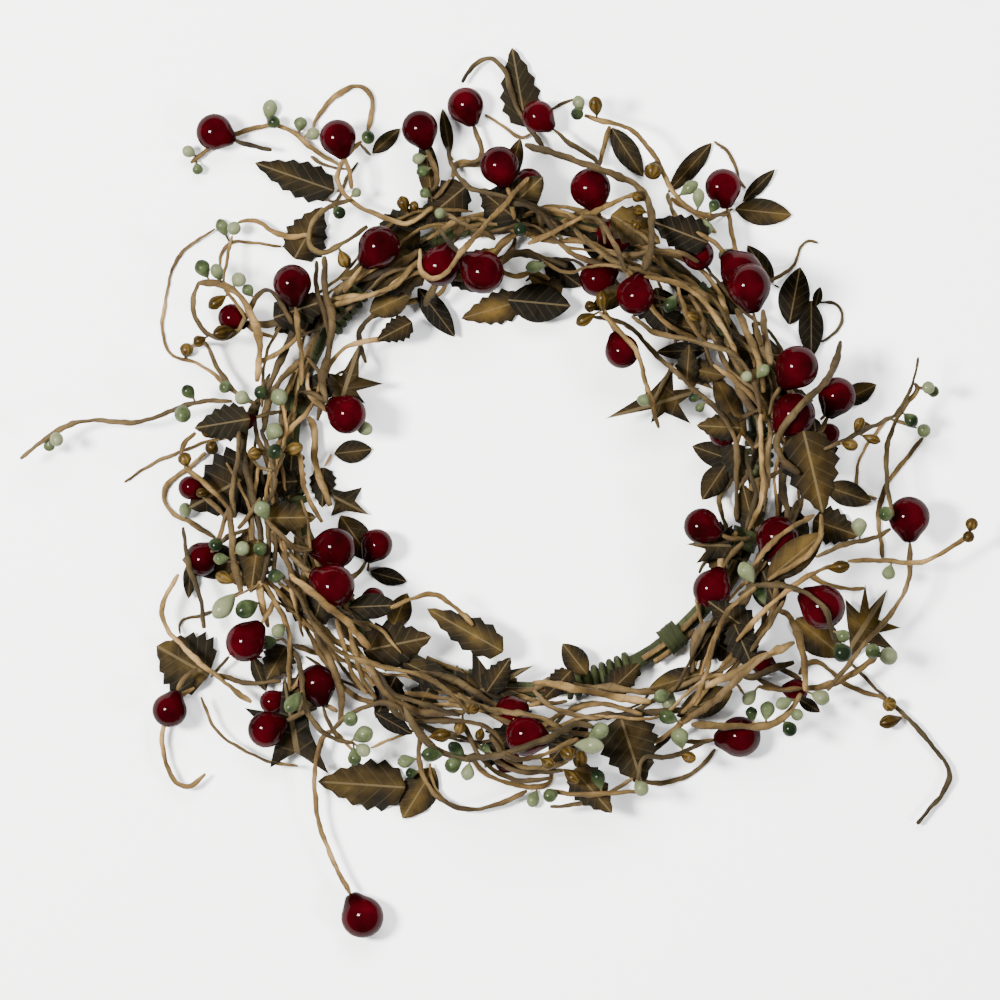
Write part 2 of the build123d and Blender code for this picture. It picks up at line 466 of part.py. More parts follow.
class Heap:
    """Spheres of all placed pieces, with a way to ask how high a new sphere must sit."""

    def __init__(self):
        self.spheres = np.zeros((0, 4))
        self.owners = np.zeros(0, dtype=int)
        self.whole = np.zeros(0, dtype=bool)

    def add(self, spheres, owner, whole=True):
        """Notes a piece's spheres; a sphere is whole unless it bulges past a flat end."""
        self.spheres = np.vstack((self.spheres, spheres))
        self.owners = np.append(self.owners, np.full(len(spheres), owner))
        self.whole = np.append(self.whole, np.broadcast_to(whole, len(spheres)))

    def drop(self, owner):
        left = self.owners != owner
        self.spheres = self.spheres[left]
        self.owners = self.owners[left]
        self.whole = self.whole[left]

    def near(self, spheres, reach):
        low = spheres[:, :2].min(axis=0) - reach
        high = spheres[:, :2].max(axis=0) + reach
        inside = np.all((self.spheres[:, :2] > low) & (self.spheres[:, :2] < high), axis=1)
        return self.spheres[inside]

    @staticmethod
    def floor_for(spheres, placed, gap):
        """Least height of each sphere that clears the table and all placed spheres."""
        least = spheres[:, 3] + TAPE_CLEARANCE
        if len(placed) == 0:
            return least
        apart = spheres[:, None, 3] + placed[None, :, 3] + gap
        flat = (spheres[:, None, 0] - placed[None, :, 0]) ** 2 + (spheres[:, None, 1] - placed[None, :, 1]) ** 2
        over = apart ** 2 - flat
        heights = np.where(over > 0, placed[None, :, 2] + np.sqrt(np.maximum(over, 0)), 0)
        return np.maximum(least, heights.max(axis=1))

    @staticmethod
    def clearance(spheres, placed):
        """Least distance between the surfaces of two sets of spheres."""
        if len(placed) == 0:
            return math.inf
        between = np.linalg.norm(spheres[:, None, :3] - placed[None, :, :3], axis=2)
        return (between - spheres[:, None, 3] - placed[None, :, 3]).min()


heap = Heap()
HOOP = 0


# Routes of straight runs joined by tangent arcs

def corners(points):
    """Start, middle and end of the arc at each inner point, with its centre."""
    found = []
    for before, corner, after in zip(points, points[1:], points[2:]):
        back, ahead = before - corner, after - corner
        reach = CORNER_SHARE * min(np.linalg.norm(back), np.linalg.norm(ahead))
        back, ahead = unit(back), unit(ahead)
        half = math.acos(max(-1, min(1, float(back @ ahead)))) / 2
        inward = unit(back + ahead)
        radius = reach * math.tan(half)
        centre = corner + inward * reach / math.cos(half)
        start, middle, end = corner + back * reach, centre - inward * radius, corner + ahead * reach
        found.append((start, middle, end, centre, radius, half))
    return found


LEAST_BEND = 0.8


def bent_enough(points):
    """Drops points that lie in line with their neighbours, which have no arc."""
    kept = [points[0]]
    for index in range(1, len(points) - 1):
        back, ahead = unit(kept[-1] - points[index]), unit(points[index + 1] - points[index])
        if float(back @ ahead) > -math.cos(math.radians(LEAST_BEND)):
            kept.append(points[index])
    kept.append(points[-1])
    return kept


def route_wire(points):
    """One wire of runs and arcs through a list of points."""
    points = bent_enough(points)
    edges = []
    here = points[0]
    for start, middle, end, *_ in corners(points):
        edges.append(Line(Vector(*here), Vector(*start)))
        edges.append(ThreePointArc(Vector(*start), Vector(*middle), Vector(*end)))
        here = end
    edges.append(Line(Vector(*here), Vector(*points[-1])))
    return Wire([edge.edge() for edge in edges])


LEAST_SWAY = 1e-4


def route_samples(points, radius):
    """Spheres along the real route, each with the index of its nearest point."""
    spheres = []
    owners = []
    here = points[0]
    arcs = corners(points)
    for index, (start, middle, end, centre, bend, half) in enumerate(arcs):
        steps = max(1, math.ceil(np.linalg.norm(start - here) / SAMPLE_STEP))
        for step in range(steps):
            share = step / steps
            spheres.append((*(here + (start - here) * share), radius))
            owners.append(index + (1 if share > 0.5 else 0))
        turn = math.pi - 2 * half
        steps = max(1, math.ceil(bend * turn / SAMPLE_STEP))
        for step in range(steps):
            share = step / steps
            first, last = start - centre, end - centre
            sway = math.sin(turn)
            if sway < LEAST_SWAY:
                spot = start + (end - start) * share
            else:
                spot = centre + (math.sin((1 - share) * turn) * first + math.sin(share * turn) * last) / sway
            spheres.append((*spot, radius))
            owners.append(index + 1)
        here = end
    steps = max(1, math.ceil(np.linalg.norm(points[-1] - here) / SAMPLE_STEP))
    for step in range(steps + 1):
        share = step / steps
        spheres.append((*(here + (points[-1] - here) * share), radius))
        owners.append(len(points) - 1 - (1 if share < 0.5 else 0))
    return np.array(spheres), np.array(owners)


def add_route(points, spheres, radius, hip, owner):
    """Adds a twig to the heap; spheres that bulge past its flat ends don't count as whole."""
    ends = [(points[-1], points[-2])]
    if hip is None:
        ends.append((points[0], points[1]))
    whole = np.ones(len(spheres) + len(ends), dtype=bool)
    for end, before in ends:
        whole[:len(spheres)] &= np.linalg.norm(spheres[:, :3] - end, axis=1) > radius
        spheres = np.vstack((spheres, (*(end + unit(before - end) * radius), radius)))
    heap.add(spheres, owner, whole[:len(spheres)])


def tube(points, diameter):
    """Round solid along a route."""
    wire = route_wire(points)
    return sweep(Plane(origin=wire @ 0, z_dir=wire % 0) * Circle(diameter / 2), path=wire)


# Settling: pieces are laid from the lowest layer up, each as low as its neighbours let it

SETTLE_ROUNDS = 60
SETTLED_LIFT = 1e-3
STEEPEST_SHARE = 0.9


def level(layer):
    return BASE_LEVEL + LEVEL_STEP * layer


def settle_route(flat, layer, diameter, hip=None):
    """Heights for a route's points, so that it and the hip at its start clear the heap."""
    points = np.column_stack((flat, np.full(len(flat), level(layer))))
    placed = heap.near(points, diameter + HEAP_REACH)
    for _ in range(SETTLE_ROUNDS):
        spheres, owners = route_samples(list(points), diameter / 2)
        short = Heap.floor_for(spheres, placed, SETTLE_GAP) - spheres[:, 2]
        lift = np.zeros(len(points))
        np.maximum.at(lift, owners, short)
        if hip is not None:
            body = hip_spheres(points[0], points[1], hip)
            short = (Heap.floor_for(body, placed, SETTLE_GAP) - body[:, 2]).max()
            lift[0] = lift[1] = max(lift[0], lift[1], short)
        if lift.max() < SETTLED_LIFT:
            break
        points[:, 2] += np.maximum(lift, 0)
        gaps = np.linalg.norm(np.diff(points[:, :2], axis=0), axis=1) * STEEPEST_SHARE
        for index in range(1, len(points)):
            points[index, 2] = max(points[index, 2], points[index - 1, 2] - gaps[index - 1])
        for index in range(len(points) - 2, -1, -1):
            points[index, 2] = max(points[index, 2], points[index + 1, 2] - gaps[index])
    spheres, owners = route_samples(list(points), diameter / 2)
    body = spheres
    if hip is not None:
        body = np.vstack((spheres, hip_spheres(points[0], points[1], hip)))
    drop = (body[:, 2] - Heap.floor_for(body, placed, SETTLE_GAP)).min()
    if drop > 0:
        points[:, 2] -= drop
        body[:, 2] -= drop
    return list(points), body


def hip_spheres(neck, ahead, diameter):
    """Spheres that stand for a hip whose stem leaves its neck towards a point."""
    axis = unit(neck - ahead)
    radius = diameter / 2
    middle = neck + axis * HIP_NECK_SHARE * diameter
    rows = [(*middle, radius)]
    for share, width in HIP_NECK_SPHERE_SHARES:
        rows.append((*(middle - axis * radius * share), radius * width))
    return np.array(rows)


nodes = {}


def keep(name, solid):
    nodes.setdefault(name, []).append(solid)


# The hoop and its tape

HOOP_SAMPLE_ANGLE = 0.5
ring_plane = Plane.XZ
ring_section = Pos(RING_RADIUS, RING_HEIGHT)
core_section = ring_plane * ring_section * Circle(RING_WIRE_DIAMETER / 2)
keep("ring_wire", revolve(core_section, Axis.Z))
tape_section = ring_plane * ring_section * (
    Circle(RING_TAPE_DIAMETER / 2) - Circle(RING_WIRE_DIAMETER / 2)
)
keep("ring_tape", revolve(tape_section, Axis.Z))


def around(angle, radial, height):
    """Point at an angle round the hoop, out and up from the middle of its wire."""
    turn = math.radians(angle)
    reach = RING_RADIUS + radial
    return np.array((reach * math.cos(turn), reach * math.sin(turn), RING_HEIGHT + height))


for degree in np.arange(0, 360, HOOP_SAMPLE_ANGLE):
    heap.add(np.array([(*around(degree, 0, 0), RING_TAPE_DIAMETER / 2)]), HOOP)


# Windings: a helix round the hoop, each quarter turn a pair of tangent arcs

def helix(middle, loops, turns):
    """Points and directions of a winding's wire at an array of turns."""
    pitch_angle = WINDING_PITCH / RING_RADIUS
    along = math.radians(middle) + (turns - loops / 2) * pitch_angle
    about = 2 * math.pi * turns
    reach = RING_RADIUS + WINDING_RADIUS * np.cos(about)
    height = RING_HEIGHT + WINDING_RADIUS * np.sin(about)
    points = np.column_stack((reach * np.cos(along), reach * np.sin(along), height))
    inward = -2 * math.pi * WINDING_RADIUS * np.sin(about)
    rise = 2 * math.pi * WINDING_RADIUS * np.cos(about)
    ahead = np.column_stack((
        inward * np.cos(along) - reach * np.sin(along) * pitch_angle,
        inward * np.sin(along) + reach * np.cos(along) * pitch_angle,
        rise,
    ))
    return points, ahead / np.linalg.norm(ahead, axis=1)[:, None]


def arc_from(start, direction, end):
    """Arc that leaves a point in a direction and ends at another point."""
    chord = end - start
    length = np.linalg.norm(chord)
    along = chord / length
    aside = unit(direction - (direction @ along) * along)
    lean = math.acos(max(-1, min(1, float(direction @ along))))
    middle = start + chord / 2 + aside * length / 2 * math.tan(lean / 2)
    return ThreePointArc(Vector(*start), Vector(*middle), Vector(*end)).edge()


def winding(middle, loops):
    turns = np.linspace(0, loops, loops * 4 + 1)
    points, ahead = helix(middle, loops, turns)
    edges = []
    for index in range(len(turns) - 1):
        first, last = points[index], points[index + 1]
        go, come = ahead[index], ahead[index + 1]
        span = last - first
        cross = 2 * (float(go @ come) - 1)
        mean = -2 * float(span @ (go + come))
        reach = (-mean - math.sqrt(mean ** 2 - 4 * cross * float(span @ span))) / (2 * cross)
        joint = (first + go * reach + last - come * reach) / 2
        edges.append(arc_from(first, go, joint))
        back = arc_from(last, -come, joint)
        edges.append(ThreePointArc(back @ 1, back @ 0.5, back @ 0).edge())
    path = Wire(edges)
    return sweep(Plane(origin=path @ 0, z_dir=path % 0) * Circle(WINDING_WIRE_DIAMETER / 2), path=path)


FINE_STEPS = 90
COARSE_STEPS = 30
HALF_TURN = 0.5
half_table = Box(
    RING_DIAMETER * 2, RING_DIAMETER * 2, RING_DIAMETER, align=(Align.CENTER, Align.CENTER, Align.MAX)
)
least_gap = RING_DIAMETER
for name, angle, loops in WINDINGS:
    keep(f"winding_{name}", winding(angle, loops) - half_table)
    fine = np.linspace(0, loops, loops * FINE_STEPS + 1)
    spots, _ = helix(angle, loops, fine)
    apart = np.linalg.norm(spots[:, None] - spots[None, :], axis=2)
    apart[np.abs(fine[:, None] - fine[None, :]) < HALF_TURN] = RING_DIAMETER
    least_gap = min(least_gap, apart.min() - WINDING_WIRE_DIAMETER)
    coarse, _ = helix(angle, loops, np.linspace(0, loops, loops * COARSE_STEPS + 1))
    heap.add(np.column_stack((coarse, np.full(len(coarse), WINDING_WIRE_DIAMETER / 2))), HOOP)
print(f"least gap of a winding to itself: {least_gap:.3f} mm,", end=" ")
print(f"over {LEAST_WINDING_GAP} mm:", least_gap > LEAST_WINDING_GAP)


# Root stems along the hoop, and the tape ties round them

TIE_STATIONS = 11
TIE_SAMPLE_ANGLE = 15
seat_radius = RING_TAPE_DIAMETER / 2 + TAPE_CLEARANCE + ROOT_DIAMETER / 2
for start, end, seat in ROOT_STEMS:
    radial = seat_radius * math.cos(math.radians(seat))
    height = seat_radius * math.sin(math.radians(seat))
    turn = (start + end) / 2
    reach = RING_RADIUS + radial
    first, middle, last = (Vector(*around(angle, radial, height)) for angle in (start, turn, end))
    path = Wire([ThreePointArc(first, middle, last).edge()])
    section = Plane(origin=path @ 0, z_dir=path % 0) * Circle(ROOT_DIAMETER / 2)
    keep("root_stems", sweep(section, path=path))
    steps = math.ceil(math.radians(abs(start - end)) * reach / SAMPLE_STEP)
    line = np.array([around(angle, radial, height) for angle in np.linspace(start, end, steps + 1)])
    heap.add(np.column_stack((line, np.full(len(line), ROOT_DIAMETER / 2))), HOOP)

seat_side = seat_radius * math.cos(math.radians(SIDE_SEAT))
seat_rise = seat_radius * math.sin(math.radians(SIDE_SEAT))
root_corner = math.hypot(seat_side, seat_rise - TIE_RISE)
tie_bore_radius = root_corner + ROOT_DIAMETER / 2 + 2 * TAPE_CLEARANCE
tie_outer_radius = tie_bore_radius + TIE_THICKNESS
for angle in TIE_ANGLES:
    middle = around(angle, 0, TIE_RISE)
    ahead = np.array((-math.sin(math.radians(angle)), math.cos(math.radians(angle)), 0))
    start = Plane(origin=Vector(*(middle - ahead * TIE_LENGTH / 2)), z_dir=Vector(*ahead))
    ring = start * (Circle(tie_outer_radius) - Circle(tie_bore_radius))
    keep("tape_ties", extrude(ring, TIE_LENGTH))
    outward = np.array((ahead[1], -ahead[0], 0))
    for step in np.linspace(-TIE_LENGTH / 2, TIE_LENGTH / 2, TIE_STATIONS):
        for about in np.arange(0, 360, TIE_SAMPLE_ANGLE):
            side = math.cos(math.radians(about)) * (tie_outer_radius - TIE_THICKNESS / 2)
            up = math.sin(math.radians(about)) * (tie_outer_radius - TIE_THICKNESS / 2)
            spot = middle + ahead * step + outward * side + np.array((0, 0, up))
            heap.add(np.array([(*spot, TIE_THICKNESS / 2)]), HOOP)


# Leaf outlines in their own frame: along from base to tip, and across

def leaf_outline(kind, length, width):
    """Outline points of a leaf, from base to tip and back."""
    side = []
    for index in range(1, LEAF_STEPS):
        share = index / LEAF_STEPS
        half = width / 2 * math.sin(math.pi * share ** LEAF_BULGE_SHARES[kind]) ** LEAF_FULLNESS_SHARE
        if kind == "toothed":
            half *= LEAF_TOOTH_SHARE if index % 2 else LEAF_NOTCH_SHARE
        side.append((share * length, half))
    foot = width * LEAF_FOOT_SHARE
    back = [(along, -half) for along, half in reversed(side)]
    return [(0, foot)] + side + [(length, 0)] + back + [(0, -foot)]


def inside(outline, spots):
    """Even-odd test of an array of spots against a closed outline."""
    odd = np.zeros(len(spots), dtype=bool)
    for (ax, ay), (bx, by) in zip(outline, outline[1:] + outline[:1]):
        spans = (ay > spots[:, 1]) != (by > spots[:, 1])
        with np.errstate(divide="ignore", invalid="ignore"):
            cut = (bx - ax) * (spots[:, 1] - ay) / (by - ay) + ax
        odd ^= spans & (spots[:, 0] < cut)
    return odd


def leaf_arch(across, curl):
    """Height of a curled leaf's middle layer at a distance from its midrib."""
    return np.sqrt(curl ** 2 - across ** 2) - curl


def settle_leaf(outline, origin, ahead, width):
    """Height at which a curled leaf rests, with the spheres that stand for it there."""
    curl = width * LEAF_CURL_SHARE
    low = np.min(outline, axis=0)
    high = np.max(outline, axis=0)
    along, across = np.meshgrid(
        np.arange(low[0], high[0], LEAF_SAMPLE_STEP), np.arange(low[1], high[1], LEAF_SAMPLE_STEP)
    )
    spots = np.column_stack((along.ravel(), across.ravel()))
    spots = np.vstack((spots[inside(outline, spots)], np.array(outline)))
    aside = np.array((-ahead[1], ahead[0]))
    flat = origin + spots[:, :1] * ahead + spots[:, 1:] * aside
    arch = leaf_arch(spots[:, 1], curl)
    spheres = np.column_stack((flat, arch, np.full(len(flat), LEAF_THICKNESS / 2)))
    placed = heap.near(spheres, HEAP_REACH)
    height = (Heap.floor_for(spheres, placed, SETTLE_GAP) - spheres[:, 2]).max()
    spheres[:, 2] += height
    return height, spheres


def leaf_solid(outline, origin, ahead, width, height):
    """Curled blade: a thin round shell cut to the leaf's outline."""
    curl = width * LEAF_CURL_SHARE
    low = np.min(outline, axis=0)
    high = np.max(outline, axis=0)
    middle = (low[0] + high[0]) / 2
    reach = high[0] - low[0] + 2 * width
    blade = make_face(Polyline([Vector(*spot) for spot in outline], close=True))
    prism = extrude(Pos(0, 0, -curl) * blade, curl + LEAF_THICKNESS)
    skin = Cylinder(curl + LEAF_THICKNESS / 2, reach) - Cylinder(curl - LEAF_THICKNESS / 2, reach)
    skin = Pos(middle, 0, -curl) * Rot(0, 90, 0) * skin
    frame = Plane(origin=(*origin, height), x_dir=(*ahead, 0), z_dir=(0, 0, 1))
    return frame.location * (prism & skin)


# Laying order: hips first in a layer, then leaves, then twigs

def star_outline(spokes, ahead):
    """Outline of a star leaf in its own frame, with a dip between each two tips."""
    aside = np.array((-ahead[1], ahead[0]))
    outline = []
    for spoke, after in zip(spokes, spokes[1:] + spokes[:1]):
        shorter = min(np.linalg.norm(spoke), np.linalg.norm(after))
        dip = unit(unit(spoke) + unit(after)) * shorter * STAR_DIP_SHARE
        if float(spoke[0] * after[1] - spoke[1] * after[0]) < 0:
            dip = -dip
        outline += [(float(spoke @ ahead), float(spoke @ aside)), (float(dip @ ahead), float(dip @ aside))]
    return outline


def scatter(number, axis):
    """Share between 0 and 1 that spreads evenly as the number counts up."""
    return number * SCATTER_SHARES[axis] % 1


def scrub_offset(angle, share):
    """How far outside the hoop's circle a filler point lies, clear of the bare stretch of hoop."""
    offset = SCRUB_DRIFT - SCRUB_LEAN * math.sin(math.radians(angle)) + SCRUB_HALF_WIDTH * (2 * share - 1)
    if BARE_FROM < angle % 360 < BARE_TO:
        offset = max(offset, BARE_OFFSET)
    return offset


def strand_route(number):
    """Wavy route of a filler strand along the ring."""
    start = 360 * scatter(number, 0)
    span = STRAND_SPAN * (1 + scatter(number, 1)) * (1 if number % 2 else -1)
    drift = scatter(number, 2) - scatter(number, 1)
    flat = []
    for step in range(STRAND_POINTS):
        share = step / (STRAND_POINTS - 1)
        angle = start + span * share
        offset = scrub_offset(angle, (scatter(number, 1) + drift * share) % 1)
        wave = STRAND_WAVE * math.sin(step * 2 + number)
        flat.append(around(angle, offset + wave, 0)[:2])
    return np.array(flat)


def scrub_leaf(number):
    """Foot, direction, length and width of a filler leaf."""
    angle = 360 * scatter(number, 1)
    if BARE_FROM < angle < BARE_TO:
        angle += BARE_TO - BARE_FROM
    share = 0.5 + (scatter(number, 2) - 0.5) * SCRUB_LEAF_SPREAD_SHARE
    foot = around(angle, scrub_offset(angle, share), 0)[:2]
    turn = math.radians(angle + 360 * scatter(number, 0))
    size = 1 + (scatter(number, 2) - 0.5) / 2
    return foot, np.array((math.cos(turn), math.sin(turn))), SCRUB_LEAF_LENGTH * size, SCRUB_LEAF_WIDTH * size


jobs = []
for number in range(STRANDS):
    kind = STRAND_KINDS[number % len(STRAND_KINDS)]
    layer = 1 + number % STRAND_LAYERS
    jobs.append((layer, 2, "twig", (strand_route(number), layer, TWIG_DIAMETERS[kind], None)))
for number in range(SCRUB_LEAVES):
    foot, ahead, length, width = scrub_leaf(number)
    outline = leaf_outline("toothed" if number % 3 else "lance", length, width)
    jobs.append((number % (STRAND_LAYERS + 2), 1, "leaf", (outline, foot, ahead, width)))
for kind, layer, route in TWIGS_PX:
    flat = np.array([place(pixel) for pixel in route])
    jobs.append((layer, 2, "twig", (flat, layer, TWIG_DIAMETERS[kind], None)))
for middle, width, layer, route in HIPS_PX:
    hip = width * PX
    flat = np.array([place(pixel) for pixel in route])
    flat[0] = place(middle) + unit(flat[0] - place(middle)) * HIP_NECK_SHARE * hip
    jobs.append((layer, 0, "hip", (flat, layer, TWIG_DIAMETER, hip)))
for kind, layer, base, tip, width in LEAVES_PX:
    span = place(tip) - place(base)
    outline = leaf_outline(kind, float(np.linalg.norm(span)), width * PX)
    jobs.append((layer, 1, "leaf", (outline, place(base), unit(span), width * PX)))
for layer, middle, tips in STARS_PX:
    spokes = [place(tip) - place(middle) for tip in tips]
    spokes.sort(key=lambda spoke: math.atan2(spoke[1], spoke[0]))
    ahead = unit(max(spokes, key=np.linalg.norm))
    outline = star_outline(spokes, ahead)
    width = STAR_CURL_SHARE * max(abs(across) for _, across in outline)
    jobs.append((layer, 1, "leaf", (outline, place(middle), ahead, width)))
jobs.sort(key=lambda job: job[:2])


# Hips

def hip_solid(neck, ahead, diameter, bore):
    """Turned hip with a pointed neck, a small crown at its nose and a blind bore for the wire."""
    radius = diameter / 2
    neck_end = HIP_NECK_SHARE * diameter
    shoulder = radius * math.sqrt(0.5)
    neck_half = max(HIP_NECK_WIDTH_SHARE * radius, bore / 2 + HIP_NECK_WALL)
    waist = (shoulder + neck_half) / 2 - radius * HIP_HOLLOW_SHARES[0]
    waist_height = (shoulder + neck_end) / 2 - radius * HIP_HOLLOW_SHARES[1]
    floor = neck_end - HIP_BORE_DEPTH_SHARE * diameter
    crown = radius * HIP_CROWN_SHARE
    nose = -math.sqrt(radius ** 2 - crown ** 2)
    crown_end = nose - crown / 2
    outline = [
        Line((0, crown_end), (crown * HIP_CROWN_TOP_SHARE, crown_end)),
        Line((crown * HIP_CROWN_TOP_SHARE, crown_end), (crown, nose)),
        ThreePointArc((crown, nose), (radius, 0), (shoulder, shoulder)),
        ThreePointArc((shoulder, shoulder), (waist, waist_height), (neck_half, neck_end)),
        Line((neck_half, neck_end), (bore / 2, neck_end)),
        Line((bore / 2, neck_end), (bore / 2, floor)),
        Line((bore / 2, floor), (0, floor)),
        Line((0, floor), (0, crown_end)),
    ]
    face = Plane.XZ * make_face(outline)
    body = revolve(face, Axis.Z)
    axis = unit(ahead - neck)
    origin = neck - axis * neck_end
    return Plane(origin=Vector(*origin), z_dir=Vector(*axis)).location * body


routes = []
blades = []
piece_count = HOOP
for layer, _, what, row in jobs:
    piece_count += 1
    if what == "leaf":
        outline, origin, ahead, width = row
        height, spheres = settle_leaf(outline, origin, ahead, width)
        heap.add(spheres, piece_count)
        foot = np.array((*(origin - ahead * (GRAFT_GAP + TENDRIL_DIAMETER / 2)), height))
        spray = spray_of(*spheres[:, :2].mean(axis=0))
        blades.append((foot, spray, piece_count, outline, origin, ahead, width))
    else:
        route, layer, diameter, hip = row
        points, spheres = settle_route(route, layer, diameter, hip)
        add_route(points, spheres, diameter / 2, hip, piece_count)
        routes.append([points, diameter, hip, spray_of(*route.mean(axis=0)), piece_count])


# Pips: each tries the twigs near it for a free seat

twig_spheres = np.zeros((0, 7))
for points, diameter, _, _, _ in routes:
    spheres, _ = route_samples(points, diameter / 2)
    ahead = np.gradient(spheres[:, :3], axis=0)
    ahead /= np.linalg.norm(ahead, axis=1)[:, None]
    twig_spheres = np.vstack((twig_spheres, np.column_stack((spheres, ahead))))


def pip_spheres(tip, axis, length, width):
    """Spheres of a pip from its tip outward."""
    radius = width / 2
    tip_half = PIP_TIP_SHARE * radius
    heart = length - radius
    rows = [(*(tip + axis * heart), radius)]
    for share in PIP_SPHERE_SHARES:
        at = tip_half + (heart - tip_half) * share
        rows.append((*(tip + axis * at), tip_half + (radius - tip_half) * share))
    return np.array(rows)


def seat_pip(flat, length, width, reach):
    """Best free seat on a twig near the pip's place, or None."""
    away = np.linalg.norm(twig_spheres[:, :2] - flat, axis=1)
    close = twig_spheres[away < reach + TWIG_DIAMETER]
    trials = []
    for x, y, z, radius, tx, ty, tz in close:
        lean = flat - np.array((x, y))
        if np.linalg.norm(lean) < TAPE_CLEARANCE:
            continue
        lean = unit(lean)
        for rise in PIP_RISES:
            axis = np.array((*(lean * math.cos(math.radians(rise))), math.sin(math.radians(rise))))
            slant = abs(float(axis @ np.array((tx, ty, tz))))
            if slant > PIP_SLANT_SHARE:
                continue
            seat = (radius + PIP_TIP_SHARE * width / 2 * slant + PIP_GAP * 1.5) / math.sqrt(1 - slant ** 2)
            tip = np.array((x, y, z)) + axis * seat
            heart = tip + axis * length * PIP_HEART_SHARE
            miss = np.linalg.norm(heart[:2] - flat)
            cost = miss + abs(rise) * PIP_RISE_COST_SHARE - PIP_DEPTH_COST_SHARE * heart[2]
            trials.append((cost, tuple(tip), tuple(axis)))
    trials.sort()
    placed = heap.near(np.array([(*flat, 0, 0)]), reach + length + HEAP_REACH)
    for _, tip, axis in trials[:PIP_TRIALS]:
        spheres = pip_spheres(np.array(tip), np.array(axis), length, width)
        if (spheres[:, 2] - spheres[:, 3]).min() < TAPE_CLEARANCE:
            continue
        if Heap.clearance(spheres, placed) > PIP_GAP:
            return np.array(tip), np.array(axis), spheres
    return None


def pip_solid(tip, axis, length, width):
    """Turned pip with a narrow flat tip and a round end."""
    radius = width / 2
    tip_half = PIP_TIP_SHARE * radius
    heart = length - radius
    shoulder = radius * math.sqrt(0.5)
    outline = [
        Line((0, 0), (tip_half, 0)),
        Line((tip_half, 0), (shoulder, heart - shoulder)),
        ThreePointArc((shoulder, heart - shoulder), (radius, heart), (0, length)),
        Line((0, length), (0, 0)),
    ]
    body = revolve(Plane.XZ * make_face(outline), Axis.Z)
    return Plane(origin=Vector(*tip), z_dir=Vector(*axis)).location * body


unseated = 0
for colour, rows in (("sage", SAGE_PIPS_PX), ("gold", GOLD_PIPS_PX)):
    for middle, length, width in rows:
        length, width = length * PX, width * PX
        found = None
        for share in PIP_REACH_SHARES:
            found = found or seat_pip(place(middle), length, width, length * share)
        if found is None:
            unseated += 1
            continue
        tip, axis, spheres = found
        piece_count += 1
        heap.add(spheres, piece_count)
        keep(f"{spray_of(*place(middle))}_{colour}_pips", pip_solid(tip, axis, length, width))
print("pips without a free seat:", unseated)


# Grafts: what doesn't yet touch the hoop's heap gets a twig end lengthened, or a short stalk

BLOCK = 400


def touching(piece):
    """Other pieces that lie within reach of one piece."""
    own = heap.spheres[(heap.owners == piece) & heap.whole]
    low = own[:, :3].min(axis=0) - own[:, 3].max() - JOINED_GAP
    high = own[:, :3].max(axis=0) + own[:, 3].max() + JOINED_GAP
    reach = heap.spheres[:, 3:]
    close = np.all((heap.spheres[:, :3] > low - reach) & (heap.spheres[:, :3] < high + reach), axis=1)
    close &= (heap.owners != piece) & heap.whole
    found = set()
    others = heap.spheres[close]
    owners = heap.owners[close]
    for start in range(0, len(others), BLOCK):
        block = others[start:start + BLOCK]
        between = np.linalg.norm(own[:, None, :3] - block[None, :, :3], axis=2)
        gaps = (between - own[:, None, 3] - block[None, :, 3]).min(axis=0)
        found.update(owners[start:start + BLOCK][gaps < JOINED_GAP].tolist())
    return found


def rod_spheres(start, end, radius):
    """Spheres of a straight rod's inside, and spots on its rims."""
    ahead = unit(end - start)
    length = np.linalg.norm(end - start)
    stations = start + np.linspace(0, length, max(2, math.ceil(length / GRAFT_STEP)) + 1)[:, None] * ahead
    aside = unit(np.cross(ahead, np.roll(ahead, 1) + ahead[::-1]))
    over = np.cross(ahead, aside)
    turn = np.arange(RIM_SPOTS) * 2 * math.pi / RIM_SPOTS
    rim = radius * (np.cos(turn)[:, None] * aside + np.sin(turn)[:, None] * over)
    spots = (stations[:, None] + rim[None]).reshape(-1, 3)
    radius = min(radius, length / 2)
    inner = start + np.linspace(radius, length - radius, len(stations))[:, None] * ahead
    return np.column_stack((inner, np.full(len(inner), radius))), np.column_stack((spots, np.zeros(len(spots))))


def graft(point, outward, owner, diameter, goals, apart):
    """Shortest straight run from an end to a goal that clears the heap; apart, it stands off from the end."""
    away = np.linalg.norm(goals[:, :3] - point, axis=1) - goals[:, 3]
    order = np.argsort(away)[:GRAFT_GOALS]
    near = np.linalg.norm(heap.spheres[:, :3] - point, axis=1) < away[order[-1]] + HEAP_REACH
    if outward is not None:
        near &= heap.owners != owner
    obstacles = heap.spheres[near]
    for goal in goals[order]:
        ahead = unit(goal[:3] - point)
        length = np.linalg.norm(goal[:3] - point) - goal[3] - GRAFT_GAP
        start = 0
        if outward is not None:
            along = float(ahead @ outward)
            if along < -FOLD_SHARE:
                continue
            if apart:
                start = GRAFT_GAP + apart * math.sqrt(1 - min(1, along) ** 2)
        if length > LONGEST_GRAFT:
            return None
        if length < start + diameter:
            continue
        first, end = point + ahead * start, point + ahead * length
        if end[2] - diameter / 2 < TAPE_CLEARANCE:
            continue
        body, rims = rod_spheres(first, end, diameter / 2)
        room = min(Heap.clearance(body, obstacles), Heap.clearance(rims, obstacles))
        if room > LEAST_CLEARANCE:
            return first, end, body
    return None


